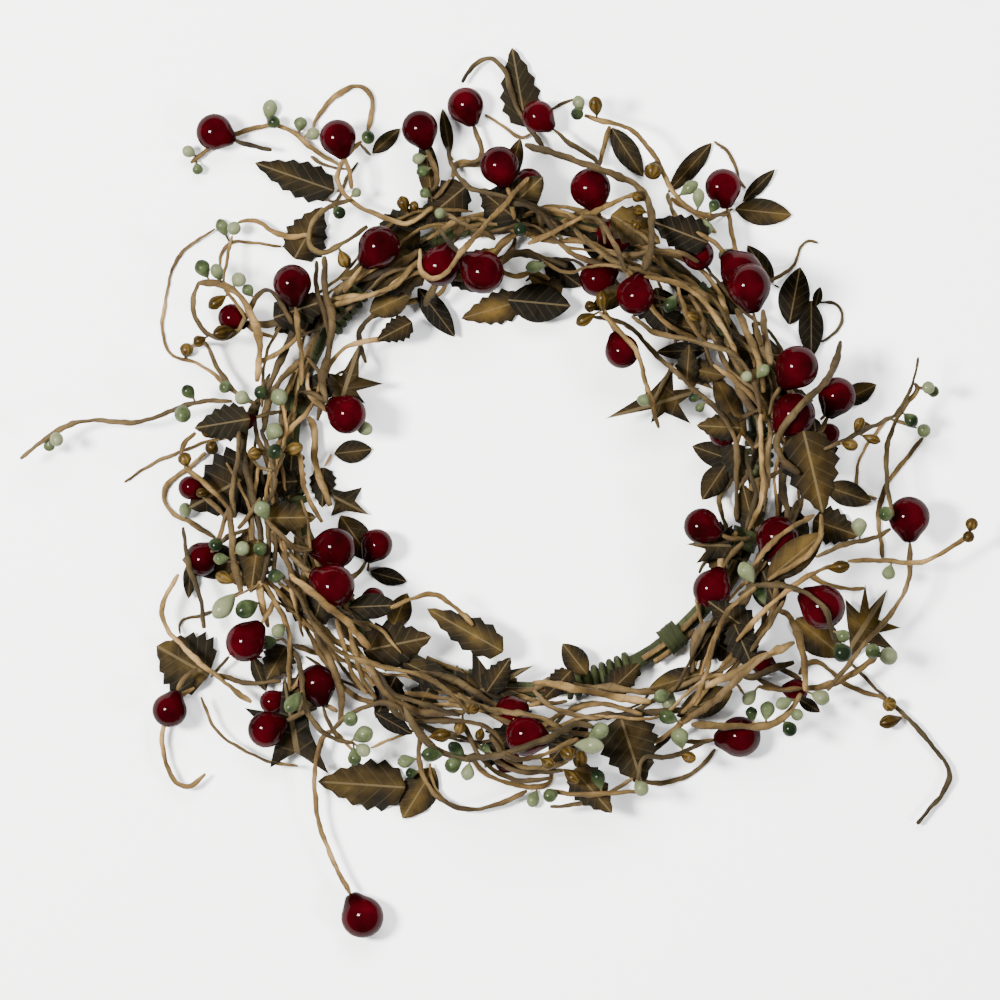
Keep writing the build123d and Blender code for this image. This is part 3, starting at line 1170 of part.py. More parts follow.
def lengthen(number, side, end):
    """Gives a route a new end, where it still clears all pieces and touches the same ones."""
    points, diameter, hip, _, owner = routes[number]
    longer = [end] + points if side == 0 else points + [end]
    spheres, _ = route_samples(bent_enough(longer), diameter / 2)
    tested = spheres[np.linalg.norm(spheres[:, :3] - end, axis=1) > diameter / 2]
    if hip is not None:
        spheres = np.vstack((spheres, hip_spheres(longer[0], longer[1], hip)))
    mine = heap.owners == owner
    before = heap.spheres[mine], heap.whole[mine]
    heap.drop(owner)
    clear = Heap.clearance(tested, heap.near(tested, HEAP_REACH)) > LEAST_CLEARANCE
    add_route(longer, spheres, diameter / 2, hip, owner)
    if clear and neighbours[owner] <= touching(owner):
        routes[number][0] = longer
        return True
    heap.drop(owner)
    heap.add(before[0], owner, before[1])
    return False


neighbours = {piece: set() for piece in range(piece_count + 1)}


def note_neighbours(piece):
    """Notes which others a piece touches, both ways."""
    for other in touching(piece):
        neighbours[piece].add(other)
        neighbours[other].add(piece)


def group_from(piece):
    """All pieces that hang together with one piece."""
    group = {piece}
    edge = [piece]
    while edge:
        for other in neighbours[edge.pop()]:
            if other not in group:
                group.add(other)
                edge.append(other)
    return group


def ends_near(group, main, low, high):
    """Free ends of twigs in a group or in the main heap, and feet of the group's leaves."""
    found = []
    for number, (points, diameter, hip, spray, owner) in enumerate(routes):
        if owner not in group and owner not in main:
            continue
        for side, before in ((-1, -2), (0, 1)):
            if (hip is None or side == -1) and np.all((points[side] > low) & (points[side] < high)):
                found.append((points[side], unit(points[side] - points[before]), diameter, owner, number, side))
    for number, (foot, spray, owner, *_) in enumerate(blades):
        if owner in group:
            found.append((foot, None, TENDRIL_DIAMETER, owner, number, None))
    return found


def join_group(group, main):
    """Joins a loose group to the main heap by its nearest free end, and tells how."""
    mine = heap.spheres[np.isin(heap.owners, list(group)) & heap.whole]
    low = mine[:, :3].min(axis=0) - LONGEST_GRAFT
    high = mine[:, :3].max(axis=0) + LONGEST_GRAFT
    box = np.all((heap.spheres[:, :3] > low) & (heap.spheres[:, :3] < high), axis=1)
    theirs = heap.spheres[box & np.isin(heap.owners, list(main)) & heap.whole]
    ranked = []
    for place_in_list, row in enumerate(ends_near(group, main, low, high)):
        goals = theirs if row[3] in group else mine
        if len(goals):
            away = (np.linalg.norm(goals[:, :3] - row[0], axis=1) - goals[:, 3]).min()
            if away < LONGEST_GRAFT:
                ranked.append((away, place_in_list, row, goals))
    ranked.sort(key=lambda entry: entry[:2])
    ranked = ranked[:GRAFT_ENDS]
    for _, _, (point, outward, diameter, owner, number, side), goals in ranked:
        found = graft(point, outward, owner, diameter, goals, 0)
        if found is None:
            continue
        first, end, body = found
        if side is None:
            stalks.append(([first, end], TENDRIL_DIAMETER, None, blades[number][1], owner))
            heap.add(body, owner)
            note_neighbours(owner)
            return "stalk"
        if lengthen(number, side, end):
            note_neighbours(owner)
            return "twig"
    for _, _, (point, outward, diameter, owner, number, side), goals in ranked:
        if side is None:
            continue
        found = graft(point, outward, owner, TENDRIL_DIAMETER, goals, diameter / 2)
        if found:
            first, end, body = found
            stalks.append(([first, end], TENDRIL_DIAMETER, None, routes[number][3], owner))
            heap.add(body, owner)
            note_neighbours(owner)
            return "stalk"
    return None


stalks = []
grafts = {"stalk": 0, "twig": 0}
for piece in range(1, piece_count + 1):
    note_neighbours(piece)
main = group_from(HOOP)
given_up = set()
loose = set(range(1, piece_count + 1)) - main
while loose:
    group = group_from(min(loose))
    how = join_group(group, main)
    main = group_from(HOOP)
    if group & main:
        grafts[how] += 1
    else:
        given_up |= group
    loose = set(range(1, piece_count + 1)) - main - given_up
print("grafts:", grafts, "pieces still loose:", piece_count + 1 - len(main))

# Leaves, twigs, and hips with their bared wire ends

for foot, spray, _, outline, origin, ahead, width in blades:
    keep(f"{spray}_leaves", leaf_solid(outline, origin, ahead, width, float(foot[2])))

for points, diameter, hip, spray, _ in routes + stalks:
    keep(f"{spray}_twigs", tube(points, diameter))
    if hip is None:
        continue
    bore = diameter * CORE_SHARE + 2 * CORE_CLEARANCE
    outward = unit(points[0] - points[1])
    keep(f"{spray}_hips", hip_solid(points[0] + outward * TAPE_CLEARANCE, points[1], hip, bore))
    end = points[0] + outward * TAPE_CLEARANCE
    depth = HIP_BORE_DEPTH_SHARE * hip - 2 * CORE_CLEARANCE
    pin = extrude(Plane(origin=Vector(*end), z_dir=Vector(*outward)) * Circle(diameter * CORE_SHARE / 2), depth)
    keep(f"{spray}_wires", pin)
print("height of the heap:", round(float((heap.spheres[:, 2] + heap.spheres[:, 3]).max()), 2))

os.makedirs("parts", exist_ok=True)
for name, solids in nodes.items():
    pieces = []
    for solid in solids:
        pieces += list(solid.solids())
    whole = pieces[0] if len(pieces) == 1 else Compound(children=pieces)
    export_step(whole, f"parts/{name}.step")
print("nodes:", len(nodes), "solids:", sum(len(solids) for solids in nodes.values()))
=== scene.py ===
import math

import bpy
import numpy as np
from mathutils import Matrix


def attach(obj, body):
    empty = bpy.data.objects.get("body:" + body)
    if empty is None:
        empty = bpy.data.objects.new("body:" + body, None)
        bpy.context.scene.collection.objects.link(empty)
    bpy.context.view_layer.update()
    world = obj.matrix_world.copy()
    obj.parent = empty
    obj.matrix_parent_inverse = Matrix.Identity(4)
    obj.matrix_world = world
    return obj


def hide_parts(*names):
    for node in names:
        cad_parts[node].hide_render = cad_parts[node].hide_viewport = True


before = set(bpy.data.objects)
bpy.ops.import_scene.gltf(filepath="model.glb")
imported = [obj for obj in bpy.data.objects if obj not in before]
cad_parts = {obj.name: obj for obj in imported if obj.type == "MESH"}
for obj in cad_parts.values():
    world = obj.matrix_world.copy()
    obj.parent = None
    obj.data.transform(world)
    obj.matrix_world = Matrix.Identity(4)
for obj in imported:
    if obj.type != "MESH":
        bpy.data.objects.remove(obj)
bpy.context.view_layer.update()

# The photograph's view: straight down on the ring, through a long lens, over a pale floor.
# One bright window and one weak one stand in for the studio, with a dim room round them.
PHOTO_WIDTH = 0.24319
LENS = 225
view_middle = (-0.00608, -0.01094, 0.006)
eye = bpy.data.cameras.new("photo_eye")
eye.lens = LENS
eye.clip_end = 20
camera = bpy.data.objects.new("photo_eye", eye)
camera.location = (view_middle[0], view_middle[1], view_middle[2] + PHOTO_WIDTH * LENS / eye.sensor_width)
bpy.context.collection.objects.link(camera)
bpy.context.scene.camera = camera


def join(tree, kind, inputs=None, **settings):
    """Adds a shader node, sets it up, and links or fills its inputs."""
    made = tree.nodes.new(kind)
    for key, value in settings.items():
        setattr(made, key, value)
    for key, value in (inputs or {}).items():
        if isinstance(value, bpy.types.NodeSocket):
            tree.links.new(value, made.inputs[key])
        else:
            made.inputs[key].default_value = value
    return made


floor_paint = bpy.data.materials.new("pale_floor")
floor_paint.use_nodes = True
floor_shader = floor_paint.node_tree.nodes["Principled BSDF"]
floor_shader.inputs["Base Color"].default_value = (0.93, 0.93, 0.925, 1)
floor_shader.inputs["Roughness"].default_value = 0.9
floor_shader.inputs["Specular IOR Level"].default_value = 0.1
floor_mesh = bpy.data.meshes.new("floor")
floor_mesh.from_pydata([(-3, -3, 0), (3, -3, 0), (3, 3, 0), (-3, 3, 0)], [], [(0, 1, 2, 3)])
floor_mesh.materials.append(floor_paint)
floor = bpy.data.objects.new("floor", floor_mesh)
bpy.context.collection.objects.link(floor)

room = bpy.data.worlds.new("dim_room")
room.use_nodes = True
room.node_tree.nodes["Background"].inputs["Color"].default_value = (0.92, 0.95, 1.0, 1)
room.node_tree.nodes["Background"].inputs["Strength"].default_value = 0.25
bpy.context.scene.world = room


def window(name, place_at, width, height, watts, tint, mirrored):
    """A soft rectangular light turned towards the middle of the ring; gloss may mirror it."""
    lamp = bpy.data.lights.new(name, "AREA")
    lamp.shape = "RECTANGLE"
    lamp.size = width
    lamp.size_y = height
    lamp.energy = watts
    lamp.color = tint
    holder = bpy.data.objects.new(name, lamp)
    holder.location = place_at
    gaze = -np.array(place_at)
    flat = math.hypot(gaze[0], gaze[1])
    holder.rotation_euler = (math.atan2(flat, -gaze[2]), 0, math.atan2(gaze[1], gaze[0]) - math.pi / 2)
    holder.visible_glossy = mirrored
    bpy.context.collection.objects.link(holder)


window("key_window", (-0.50, 0.05, 0.9), 0.16, 0.22, 42.0, (1.0, 0.98, 0.95), True)
window("fill_window", (0.75, -0.35, 0.8), 0.25, 0.25, 12.0, (0.95, 0.97, 1.0), False)
window("top_softbox", (0.1, 0.9, 1.3), 1.2, 0.8, 50.0, (1.0, 1.0, 1.0), False)

# The hoop is a steel wire under a sleeve of crepe paper tape, drawn round it in a long spiral.
# Its places come from the photograph's pixels, on a table at height zero, in millimetres.
RING_DIAMETER = 114.3
RING_TAPE_DIAMETER = 4.0
WINDING_WIRE_DIAMETER = 1.5
WINDING_PITCH = 2.1
WINDING_FLAT_DEPTH = 0.5
TAPE_CLEARANCE = 0.05
RING_CENTRE_PX = (525, 455)
RING_RADIUS_PX = 235
PX = RING_DIAMETER / 2 / RING_RADIUS_PX
RING_RADIUS = RING_DIAMETER / 2
WINDING_RADIUS = RING_TAPE_DIAMETER / 2 + TAPE_CLEARANCE + WINDING_WIRE_DIAMETER / 2
RING_HEIGHT = WINDING_RADIUS + WINDING_WIRE_DIAMETER / 2 - WINDING_FLAT_DEPTH
SPRAYS = ("right", "upper_right", "top", "upper_left", "left", "lower_left", "bottom", "lower_right")
SPRAY_ANGLE = 360 / len(SPRAYS)
HOOP = 0
MM = 0.001


def place(pixel):
    """Photograph pixel to X and Y on the table."""
    x = (pixel[0] - RING_CENTRE_PX[0]) * PX
    y = (RING_CENTRE_PX[1] - pixel[1]) * PX
    return np.array((x, y))


def spray_of(x, y):
    """Name of the clock direction that a point lies in."""
    turn = math.degrees(math.atan2(y, x)) + SPRAY_ANGLE / 2
    return SPRAYS[int(turn % 360 // SPRAY_ANGLE)]


def unit(vector):
    """The vector divided by its own length."""
    return vector / np.linalg.norm(vector)


def around(angle, radial, height):
    """Point at an angle round the hoop, out and up from the middle of its wire."""
    turn = math.radians(angle)
    reach = RING_RADIUS + radial
    return np.array((reach * math.cos(turn), reach * math.sin(turn), RING_HEIGHT + height))


class Heap:
    """Spheres of all placed pieces, with a way to ask how high a new sphere must sit."""

    def __init__(self):
        self.spheres = np.zeros((0, 4))
        self.owners = np.zeros(0, dtype=int)
        self.whole = np.zeros(0, dtype=bool)

    def add(self, spheres, owner, whole=True):
        """Notes a piece's spheres; a sphere is whole unless it bulges past a flat end."""
        self.spheres = np.vstack((self.spheres, spheres))
        self.owners = np.append(self.owners, np.full(len(spheres), owner))
        self.whole = np.append(self.whole, np.broadcast_to(whole, len(spheres)))

    def drop(self, owner):
        """Takes a piece's spheres out again."""
        left = self.owners != owner
        self.spheres = self.spheres[left]
        self.owners = self.owners[left]
        self.whole = self.whole[left]

    def near(self, spheres, reach):
        """Placed spheres in the box round some spheres, seen from above, with a reach added."""
        low = spheres[:, :2].min(axis=0) - reach
        high = spheres[:, :2].max(axis=0) + reach
        inside = np.all((self.spheres[:, :2] > low) & (self.spheres[:, :2] < high), axis=1)
        return self.spheres[inside]

    @staticmethod
    def floor_for(spheres, placed, gap):
        """Least height of each sphere that clears the table and all placed spheres."""
        least = spheres[:, 3] + TAPE_CLEARANCE
        if len(placed) == 0:
            return least
        apart = spheres[:, None, 3] + placed[None, :, 3] + gap
        flat = (spheres[:, None, 0] - placed[None, :, 0]) ** 2 + (spheres[:, None, 1] - placed[None, :, 1]) ** 2
        over = apart ** 2 - flat
        heights = np.where(over > 0, placed[None, :, 2] + np.sqrt(np.maximum(over, 0)), 0)
        return np.maximum(least, heights.max(axis=1))

    @staticmethod
    def clearance(spheres, placed):
        """Least distance between the surfaces of two sets of spheres."""
        if len(placed) == 0:
            return math.inf
        between = np.linalg.norm(spheres[:, None, :3] - placed[None, :, :3], axis=2)
        return (between - spheres[:, None, 3] - placed[None, :, 3]).min()


heap = Heap()
for degree in np.arange(0, 360, 0.5):
    heap.add(np.array([(*around(degree, 0, 0), RING_TAPE_DIAMETER / 2)]), HOOP)


def unit_rows(vectors):
    """Each row divided by its own length."""
    return vectors / np.linalg.norm(vectors, axis=-1, keepdims=True)


def waves(along, seed, lengths, heights):
    """Sum of sine waves of the given lengths and heights, with phases drawn from a seed."""
    phases = np.random.default_rng(seed).uniform(0, 2 * np.pi, len(lengths))
    return sum(h * np.sin(2 * np.pi * along / n + p) for n, h, p in zip(lengths, heights, phases))


def run_along(line):
    """Length along a line up to each of its points."""
    return np.concatenate(([0], np.cumsum(np.linalg.norm(np.diff(line, axis=0), axis=1))))


def spots_at(marks, run, line):
    """Points of a line at given lengths along it."""
    return np.column_stack([np.interp(marks, run, line[:, axis]) for axis in range(line.shape[1])])


def mark_for(number):
    """Share from 0 to 1 that spreads evenly as the number counts up."""
    return number * 0.618 % 1


def tube_skin(path, radii, sides, upward=(0, 0, 1)):
    """Grid of a round skin: path point plus radius times the turned unit circle across the path."""
    ahead = unit_rows(np.gradient(path, axis=0))
    aside = unit_rows(np.cross(np.broadcast_to(upward, ahead.shape), ahead))
    over = np.cross(ahead, aside)
    turn = np.linspace(0, 2 * np.pi, sides, endpoint=False)
    radii = np.broadcast_to(np.asarray(radii).reshape(len(path), -1), (len(path), sides))
    ring = np.cos(turn)[None, :, None] * aside[:, None] + np.sin(turn)[None, :, None] * over[:, None]
    grid = path[:, None] + radii[:, :, None] * ring
    wrap = np.stack(np.meshgrid(run_along(path), np.linspace(0, 1, sides + 1), indexing="ij"), axis=-1)
    return grid, wrap


def dress(name, skins, material, node):
    """One piece from closed skins (grid, wrap coordinates, mark), standing for a CAD node.
    Columns close on themselves, and a face closes each end."""
    spots, quads, quad_wraps, ends, end_wraps, marks = [], [], [], [], [], []
    base = 0
    for grid, wrap, mark in skins:
        rows, columns = grid.shape[:2]
        index = base + np.arange(rows * columns).reshape(rows, columns)
        after = np.roll(index, -1, axis=1)
        quads.append(np.stack((index[:-1], after[:-1], after[1:], index[1:]), axis=-1).reshape(-1))
        corner = (wrap[:-1, :-1], wrap[:-1, 1:], wrap[1:, 1:], wrap[1:, :-1])
        quad_wraps.append(np.stack(corner, axis=2).reshape(-1, 2))
        for row, order in ((0, -1), (-1, 1)):
            ends.append(index[row][::order])
            end_wraps.append(wrap[row, :-1][::order])
        spots.append(grid.reshape(-1, 3) * MM)
        marks.append(np.full(rows * columns, mark))
        base += rows * columns
    quads = np.concatenate(quads)
    end_sizes = np.array([len(end) for end in ends])
    corners_in_order = np.concatenate([quads] + ends)
    starts = np.concatenate((np.arange(0, len(quads), 4), len(quads) + np.cumsum(end_sizes) - end_sizes))
    mesh = bpy.data.meshes.new(name)
    mesh.vertices.add(base)
    mesh.vertices.foreach_set("co", np.concatenate(spots).ravel().astype(np.float32))
    mesh.loops.add(len(corners_in_order))
    mesh.loops.foreach_set("vertex_index", corners_in_order.astype(np.int32))
    mesh.polygons.add(len(starts))
    mesh.polygons.foreach_set("loop_start", starts.astype(np.int32))
    mesh.update(calc_edges=True)
    mesh.polygons.foreach_set("use_smooth", np.ones(len(starts), dtype=bool))
    wraps = np.concatenate(quad_wraps + end_wraps).astype(np.float32)
    mesh.uv_layers.new(name="wrap").data.foreach_set("uv", wraps.ravel())
    tags = mesh.attributes.new("mark", "FLOAT", "POINT")
    tags.data.foreach_set("value", np.concatenate(marks).astype(np.float32))
    mesh.materials.append(material)
    piece = bpy.data.objects.new(name, mesh)
    bpy.context.collection.objects.link(piece)
    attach(piece, "root")
    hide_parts(node)


def dress_sprays(skins_of, piece, material, node):
    """Dresses the like node of every spray."""
    for spray, skins in skins_of.items():
        dress(f"{spray}_{piece}", skins, material, f"{spray}_{node}")


def new_group(name, inputs, outputs):
    """A shader node group with named sockets, and its tree's two ends."""
    group = bpy.data.node_groups.new(name, "ShaderNodeTree")
    for label, kind, value in inputs:
        made = group.interface.new_socket(label, in_out="INPUT", socket_type=kind)
        if value is not None:
            made.default_value = value
    for label, kind in outputs:
        group.interface.new_socket(label, in_out="OUTPUT", socket_type=kind)
    return group, group.nodes.new("NodeGroupInput").outputs, group.nodes.new("NodeGroupOutput").inputs


def sums(tree, operation, *values):
    """Output of one Math node over two or three values."""
    made = join(tree, "ShaderNodeMath", operation=operation)
    for socket, value in zip(made.inputs, values):
        if isinstance(value, bpy.types.NodeSocket):
            tree.links.new(value, socket)
        else:
            socket.default_value = value
    return made.outputs[0]


# A strip of paper wound in a spiral: a raised edge once a turn, and fibres along it. Its seam output marks the
# groove at each turn's edge, where the materials paint shade.
strip_wrap, given, made = new_group(
    "strip_wrap",
    (("Wrap", "NodeSocketVector", None), ("Pitch", "NodeSocketFloat", 3.0), ("Fibre", "NodeSocketFloat", 1.0),
     ("Mark", "NodeSocketFloat", 0.0)),
    (("Height", "NodeSocketFloat"), ("Seam", "NodeSocketFloat"), ("Blotch", "NodeSocketFloat")),
)
split = join(strip_wrap, "ShaderNodeSeparateXYZ", {"Vector": given["Wrap"]})
turns = sums(strip_wrap, "DIVIDE", split.outputs["X"], given["Pitch"])
turns = sums(strip_wrap, "ADD", turns, split.outputs["Y"])
turns = sums(strip_wrap, "ADD", turns, given["Mark"])
share = sums(strip_wrap, "FRACT", turns)
seam = sums(strip_wrap, "SMOOTH_MIN", sums(strip_wrap, "MULTIPLY", share, 9.0), 1.0, 0.3)
slope = sums(strip_wrap, "SUBTRACT", 1.0, sums(strip_wrap, "MULTIPLY", share, 0.45))
strip_vector = join(strip_wrap, "ShaderNodeCombineXYZ", {
    "X": sums(strip_wrap, "MULTIPLY", split.outputs["X"], 0.35),
    "Y": sums(strip_wrap, "MULTIPLY", split.outputs["Y"], 9.0),
    "Z": sums(strip_wrap, "MULTIPLY", given["Mark"], 37.0),
})
fibres = join(strip_wrap, "ShaderNodeTexNoise", {
    "Vector": strip_vector.outputs[0], "Scale": 1.6, "Detail": 4.0})
blotch_vector = join(strip_wrap, "ShaderNodeCombineXYZ", {
    "X": sums(strip_wrap, "MULTIPLY", split.outputs["X"], 0.12),
    "Y": sums(strip_wrap, "MULTIPLY", split.outputs["Y"], 1.0),
    "Z": sums(strip_wrap, "MULTIPLY", given["Mark"], 91.0),
})
blotches = join(strip_wrap, "ShaderNodeTexNoise", {
    "Vector": blotch_vector.outputs[0], "Scale": 1.0, "Detail": 3.0})
height = sums(strip_wrap, "MULTIPLY", sums(strip_wrap, "MULTIPLY", seam, slope), 0.6)
grain = sums(strip_wrap, "MULTIPLY", fibres.outputs[0], given["Fibre"])
height = sums(strip_wrap, "MULTIPLY_ADD", grain, 0.8, height)
strip_wrap.links.new(height, made["Height"])
strip_wrap.links.new(seam, made["Seam"])
strip_wrap.links.new(blotches.outputs[0], made["Blotch"])


def wrap_map(tree, name="wrap"):
    """The piece's own wrap coordinates, in millimetres along and turns round."""
    return join(tree, "ShaderNodeUVMap", uv_map=name).outputs[0]


def mark_of(tree):
    """The number that tells one piece of a node from the next."""
    return join(tree, "ShaderNodeAttribute", attribute_name="mark", attribute_type="GEOMETRY").outputs["Fac"]


def own_share(tree, mark, spread):
    """Another share from 0 to 1 for each piece of a node, made from its mark."""
    return sums(tree, "FRACT", sums(tree, "MULTIPLY", mark, spread))


def shades(tree, value, stops):
    """Colour ramp through (place, colour) stops."""
    ramp = join(tree, "ShaderNodeValToRGB", {"Fac": value})
    band = ramp.color_ramp
    while len(band.elements) < len(stops):
        band.elements.new(0.5)
    for element, (at, colour) in zip(band.elements, stops):
        element.position = at
        element.color = (*colour, 1)
    return ramp.outputs["Color"]


def blend(tree, kind, amount, first, second):
    """Mixes two colours."""
    mixed = join(tree, "ShaderNodeMix", data_type="RGBA", blend_type=kind)
    for index, value in ((0, amount), (6, first), (7, second)):
        if isinstance(value, bpy.types.NodeSocket):
            tree.links.new(value, mixed.inputs[index])
        else:
            mixed.inputs[index].default_value = value if index == 0 else (*value, 1)
    return mixed.outputs[2]


def fresh_material(name, roughness, specular=0.5):
    """A material with its tree and its Principled shader."""
    paint = bpy.data.materials.new(name)
    paint.use_nodes = True
    shader = paint.node_tree.nodes["Principled BSDF"]
    shader.inputs["Roughness"].default_value = roughness
    shader.inputs["Specular IOR Level"].default_value = specular
    return paint, paint.node_tree, shader


def colour_skin(tree, shader, colour):
    """Feeds a colour into the shader."""
    tree.links.new(colour, shader.inputs["Base Color"])


def lacquer(shader, weight, roughness):
    """A clear coat over the whole surface."""
    shader.inputs["Coat Weight"].default_value = weight
    shader.inputs["Coat Roughness"].default_value = roughness


def clouded(tree, scale, detail):
    """Soft noise over the piece, at a scale per metre."""
    spot = join(tree, "ShaderNodeTexCoord").outputs["Object"]
    return join(tree, "ShaderNodeTexNoise", {"Vector": spot, "Scale": scale, "Detail": detail}).outputs[0]


def wound_strip(tree, mark, pitch, fibre):
    """The strip's height, the seam mask for painted shade, and blotches on a piece's wrap coordinates."""
    return join(tree, "ShaderNodeGroup", {
        "Wrap": wrap_map(tree), "Mark": mark, "Pitch": pitch, "Fibre": fibre}, node_tree=strip_wrap)


def raise_skin(tree, shader, value, depth, strength=1.0):
    """Feeds a height in metres times a value into the shader's normal."""
    bump = join(tree, "ShaderNodeBump", {"Height": value, "Distance": depth, "Strength": strength})
    tree.links.new(bump.outputs[0], shader.inputs["Normal"])


green_tape, tree, shader = fresh_material("green_tape", 0.8, 0.12)
strip = wound_strip(tree, mark_of(tree), 4.2, 1.1)
tone = shades(tree, strip.outputs["Blotch"], (
    (0.25, (0.005, 0.006, 0.002)), (0.5, (0.015, 0.018, 0.006)), (0.75, (0.036, 0.040, 0.015))))
# Darkens the colour along each turn's seam: painted shade in the groove of the wound tape.
colour_skin(tree, shader, blend(tree, "MULTIPLY", 0.7, tone, shades(tree, strip.outputs["Seam"], (
    (0.0, (0.30, 0.30, 0.26)), (0.8, (1.0, 1.0, 1.0))))))
raise_skin(tree, shader, strip.outputs["Height"], 0.00035)

steel, tree, shader = fresh_material("core_wire", 0.35)
shader.inputs["Metallic"].default_value = 1.0
colour_skin(tree, shader, shades(tree, clouded(tree, 900.0, 3.0), (
    (0.3, (0.35, 0.33, 0.30)), (0.7, (0.22, 0.17, 0.12)))))
for name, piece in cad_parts.items():
    if name.endswith("wires") or name == "ring_wire":
        for index in range(len(piece.material_slots)):
            piece.material_slots[index].material = steel

# The hoop's tape is one stretched strip. Its skin's radius steps up a little at the strip's
# edge, once a spiral turn.
TAPE_SPIRAL = 8.0
TAPE_PARTS = 4
TAPE_PART_STEPS = 180
TAPE_SIDES = 28
TAPE_LEAST_SHARE = 0.955
TAPE_EDGE_SHARE = 0.05
TAPE_LUMPS = ((31, 13, 7.7), (0.03, 0.03, 0.02))
turn = np.linspace(0, 2 * np.pi, TAPE_PARTS * TAPE_PART_STEPS + 1)
about = np.linspace(0, 2 * np.pi, TAPE_SIDES, endpoint=False)
spiral = np.mod(turn[:, None] * RING_RADIUS / TAPE_SPIRAL + about[None, :] / (2 * np.pi), 1)
lumps = waves(turn * RING_RADIUS, 5, *TAPE_LUMPS)[:, None]
thick = RING_TAPE_DIAMETER / 2 * (TAPE_LEAST_SHARE + TAPE_EDGE_SHARE * (1 - spiral)) + lumps
path = RING_RADIUS * np.column_stack((np.cos(turn), np.sin(turn), np.zeros(len(turn))))
path[:, 2] = RING_HEIGHT
skins = []
for number in range(TAPE_PARTS):
    some = slice(number * TAPE_PART_STEPS, (number + 1) * TAPE_PART_STEPS + 1)
    grid, wrap = tube_skin(path[some], thick[some], TAPE_SIDES)
    skins.append((grid, wrap + np.array((number * 2 * np.pi / TAPE_PARTS * RING_RADIUS, 0)), 0.2))
dress("hoop_tape", skins, green_tape, "ring_tape")

# Windings: taped wire wound tight round the hoop, which holds the ends of the sprays.
# Each is one wire, flattened under the hoop where the ring stands on the table.
WINDINGS = (
    ("bottom", 289, 8),
    ("left", 186, 6),
    ("upper_left", 141, 6),
    ("right", 2, 4),
)
LOOP_LENGTH = 17.6
LOOP_SPHERES = 30
LOOP_STEPS = 36
LOOP_SIDES = 14
LOOP_LUMPS = ((9.1, 5.3, 3.1), (0.05, 0.04, 0.03))


def helix(middle, loops, turns):
    """Points and directions of a winding's wire at an array of turns."""
    pitch_angle = WINDING_PITCH / RING_RADIUS
    along = math.radians(middle) + (turns - loops / 2) * pitch_angle
    about = 2 * math.pi * turns
    reach = RING_RADIUS + WINDING_RADIUS * np.cos(about)
    height = RING_HEIGHT + WINDING_RADIUS * np.sin(about)
    points = np.column_stack((reach * np.cos(along), reach * np.sin(along), height))
    inward = -2 * math.pi * WINDING_RADIUS * np.sin(about)
    rise = 2 * math.pi * WINDING_RADIUS * np.cos(about)
    ahead = np.column_stack((
        inward * np.cos(along) - reach * np.sin(along) * pitch_angle,
        inward * np.sin(along) + reach * np.cos(along) * pitch_angle,
        rise,
    ))
    return points, ahead / np.linalg.norm(ahead, axis=1)[:, None]


for name, angle, loops in WINDINGS:
    coarse, _ = helix(angle, loops, np.linspace(0, loops, loops * LOOP_SPHERES + 1))
    heap.add(np.column_stack((coarse, np.full(len(coarse), WINDING_WIRE_DIAMETER / 2))), HOOP)
    turns_here = np.linspace(0, loops, loops * LOOP_STEPS + 1)
    path, _ = helix(angle, loops, turns_here)
    along_ring = np.column_stack((-path[:, 1], path[:, 0], np.zeros(len(path))))
    lumps = waves(turns_here * LOOP_LENGTH, angle, *LOOP_LUMPS)
    radii = WINDING_WIRE_DIAMETER / 2 * (1 + lumps)
    grid, wrap = tube_skin(path, radii, LOOP_SIDES, unit_rows(along_ring))
    grid[:, :, 2] = np.maximum(grid[:, :, 2], 0.0)
    dress(f"winding_{name}_tape", [(grid, wrap, 0.1 * loops)], green_tape, f"winding_{name}")

# Root stems lie along the hoop, and short bands of the same tape bind them to it.
# They are the thick paper-wrapped ends of the sprays.
ROOT_STEMS = (
    (133, 114, 90), (132, 117, 35), (131, 116, 145),
    (112, 66, 35), (108, 70, 90), (104, 74, 145),
    (62, 18, 90), (58, 24, 35), (54, 28, 145),
    (354, 328, 90), (350, 322, 35),
    (318, 300, 90), (314, 302, 35),
    (276, 240, 90), (272, 236, 35), (268, 244, 145),
    (232, 200, 90), (228, 204, 35), (226, 206, 145),
    (176, 156, 90), (174, 158, 35),
)
SIDE_SEAT = 35
TIE_ANGLES = (125, 91, 42, 339, 309, 258, 217, 167)
TIE_LENGTH = 5.0
TIE_THICKNESS = 0.4
TIE_RISE = 0.9
ROOT_DIAMETER = 1.4
SAMPLE_STEP = 0.55
ROOT_SIDES = 12
ROOT_LUMPS = ((11, 6.1, 2.9), (0.05, 0.05, 0.04))
seat_radius = RING_TAPE_DIAMETER / 2 + TAPE_CLEARANCE + ROOT_DIAMETER / 2
root_skins = []
for number, (start, end, seat) in enumerate(ROOT_STEMS):
    radial = seat_radius * math.cos(math.radians(seat))
    height = seat_radius * math.sin(math.radians(seat))
    reach = RING_RADIUS + radial
    steps = math.ceil(math.radians(abs(start - end)) * reach / SAMPLE_STEP)
    line = np.array([around(angle, radial, height) for angle in np.linspace(start, end, steps + 1)])
    heap.add(np.column_stack((line, np.full(len(line), ROOT_DIAMETER / 2))), HOOP)
    run = np.arange(len(line)) * SAMPLE_STEP
    radii = ROOT_DIAMETER / 2 * (1 + waves(run, number, *ROOT_LUMPS))
    grid, wrap = tube_skin(line, radii, ROOT_SIDES)
    root_skins.append((grid, wrap, (number * 0.37) % 1))

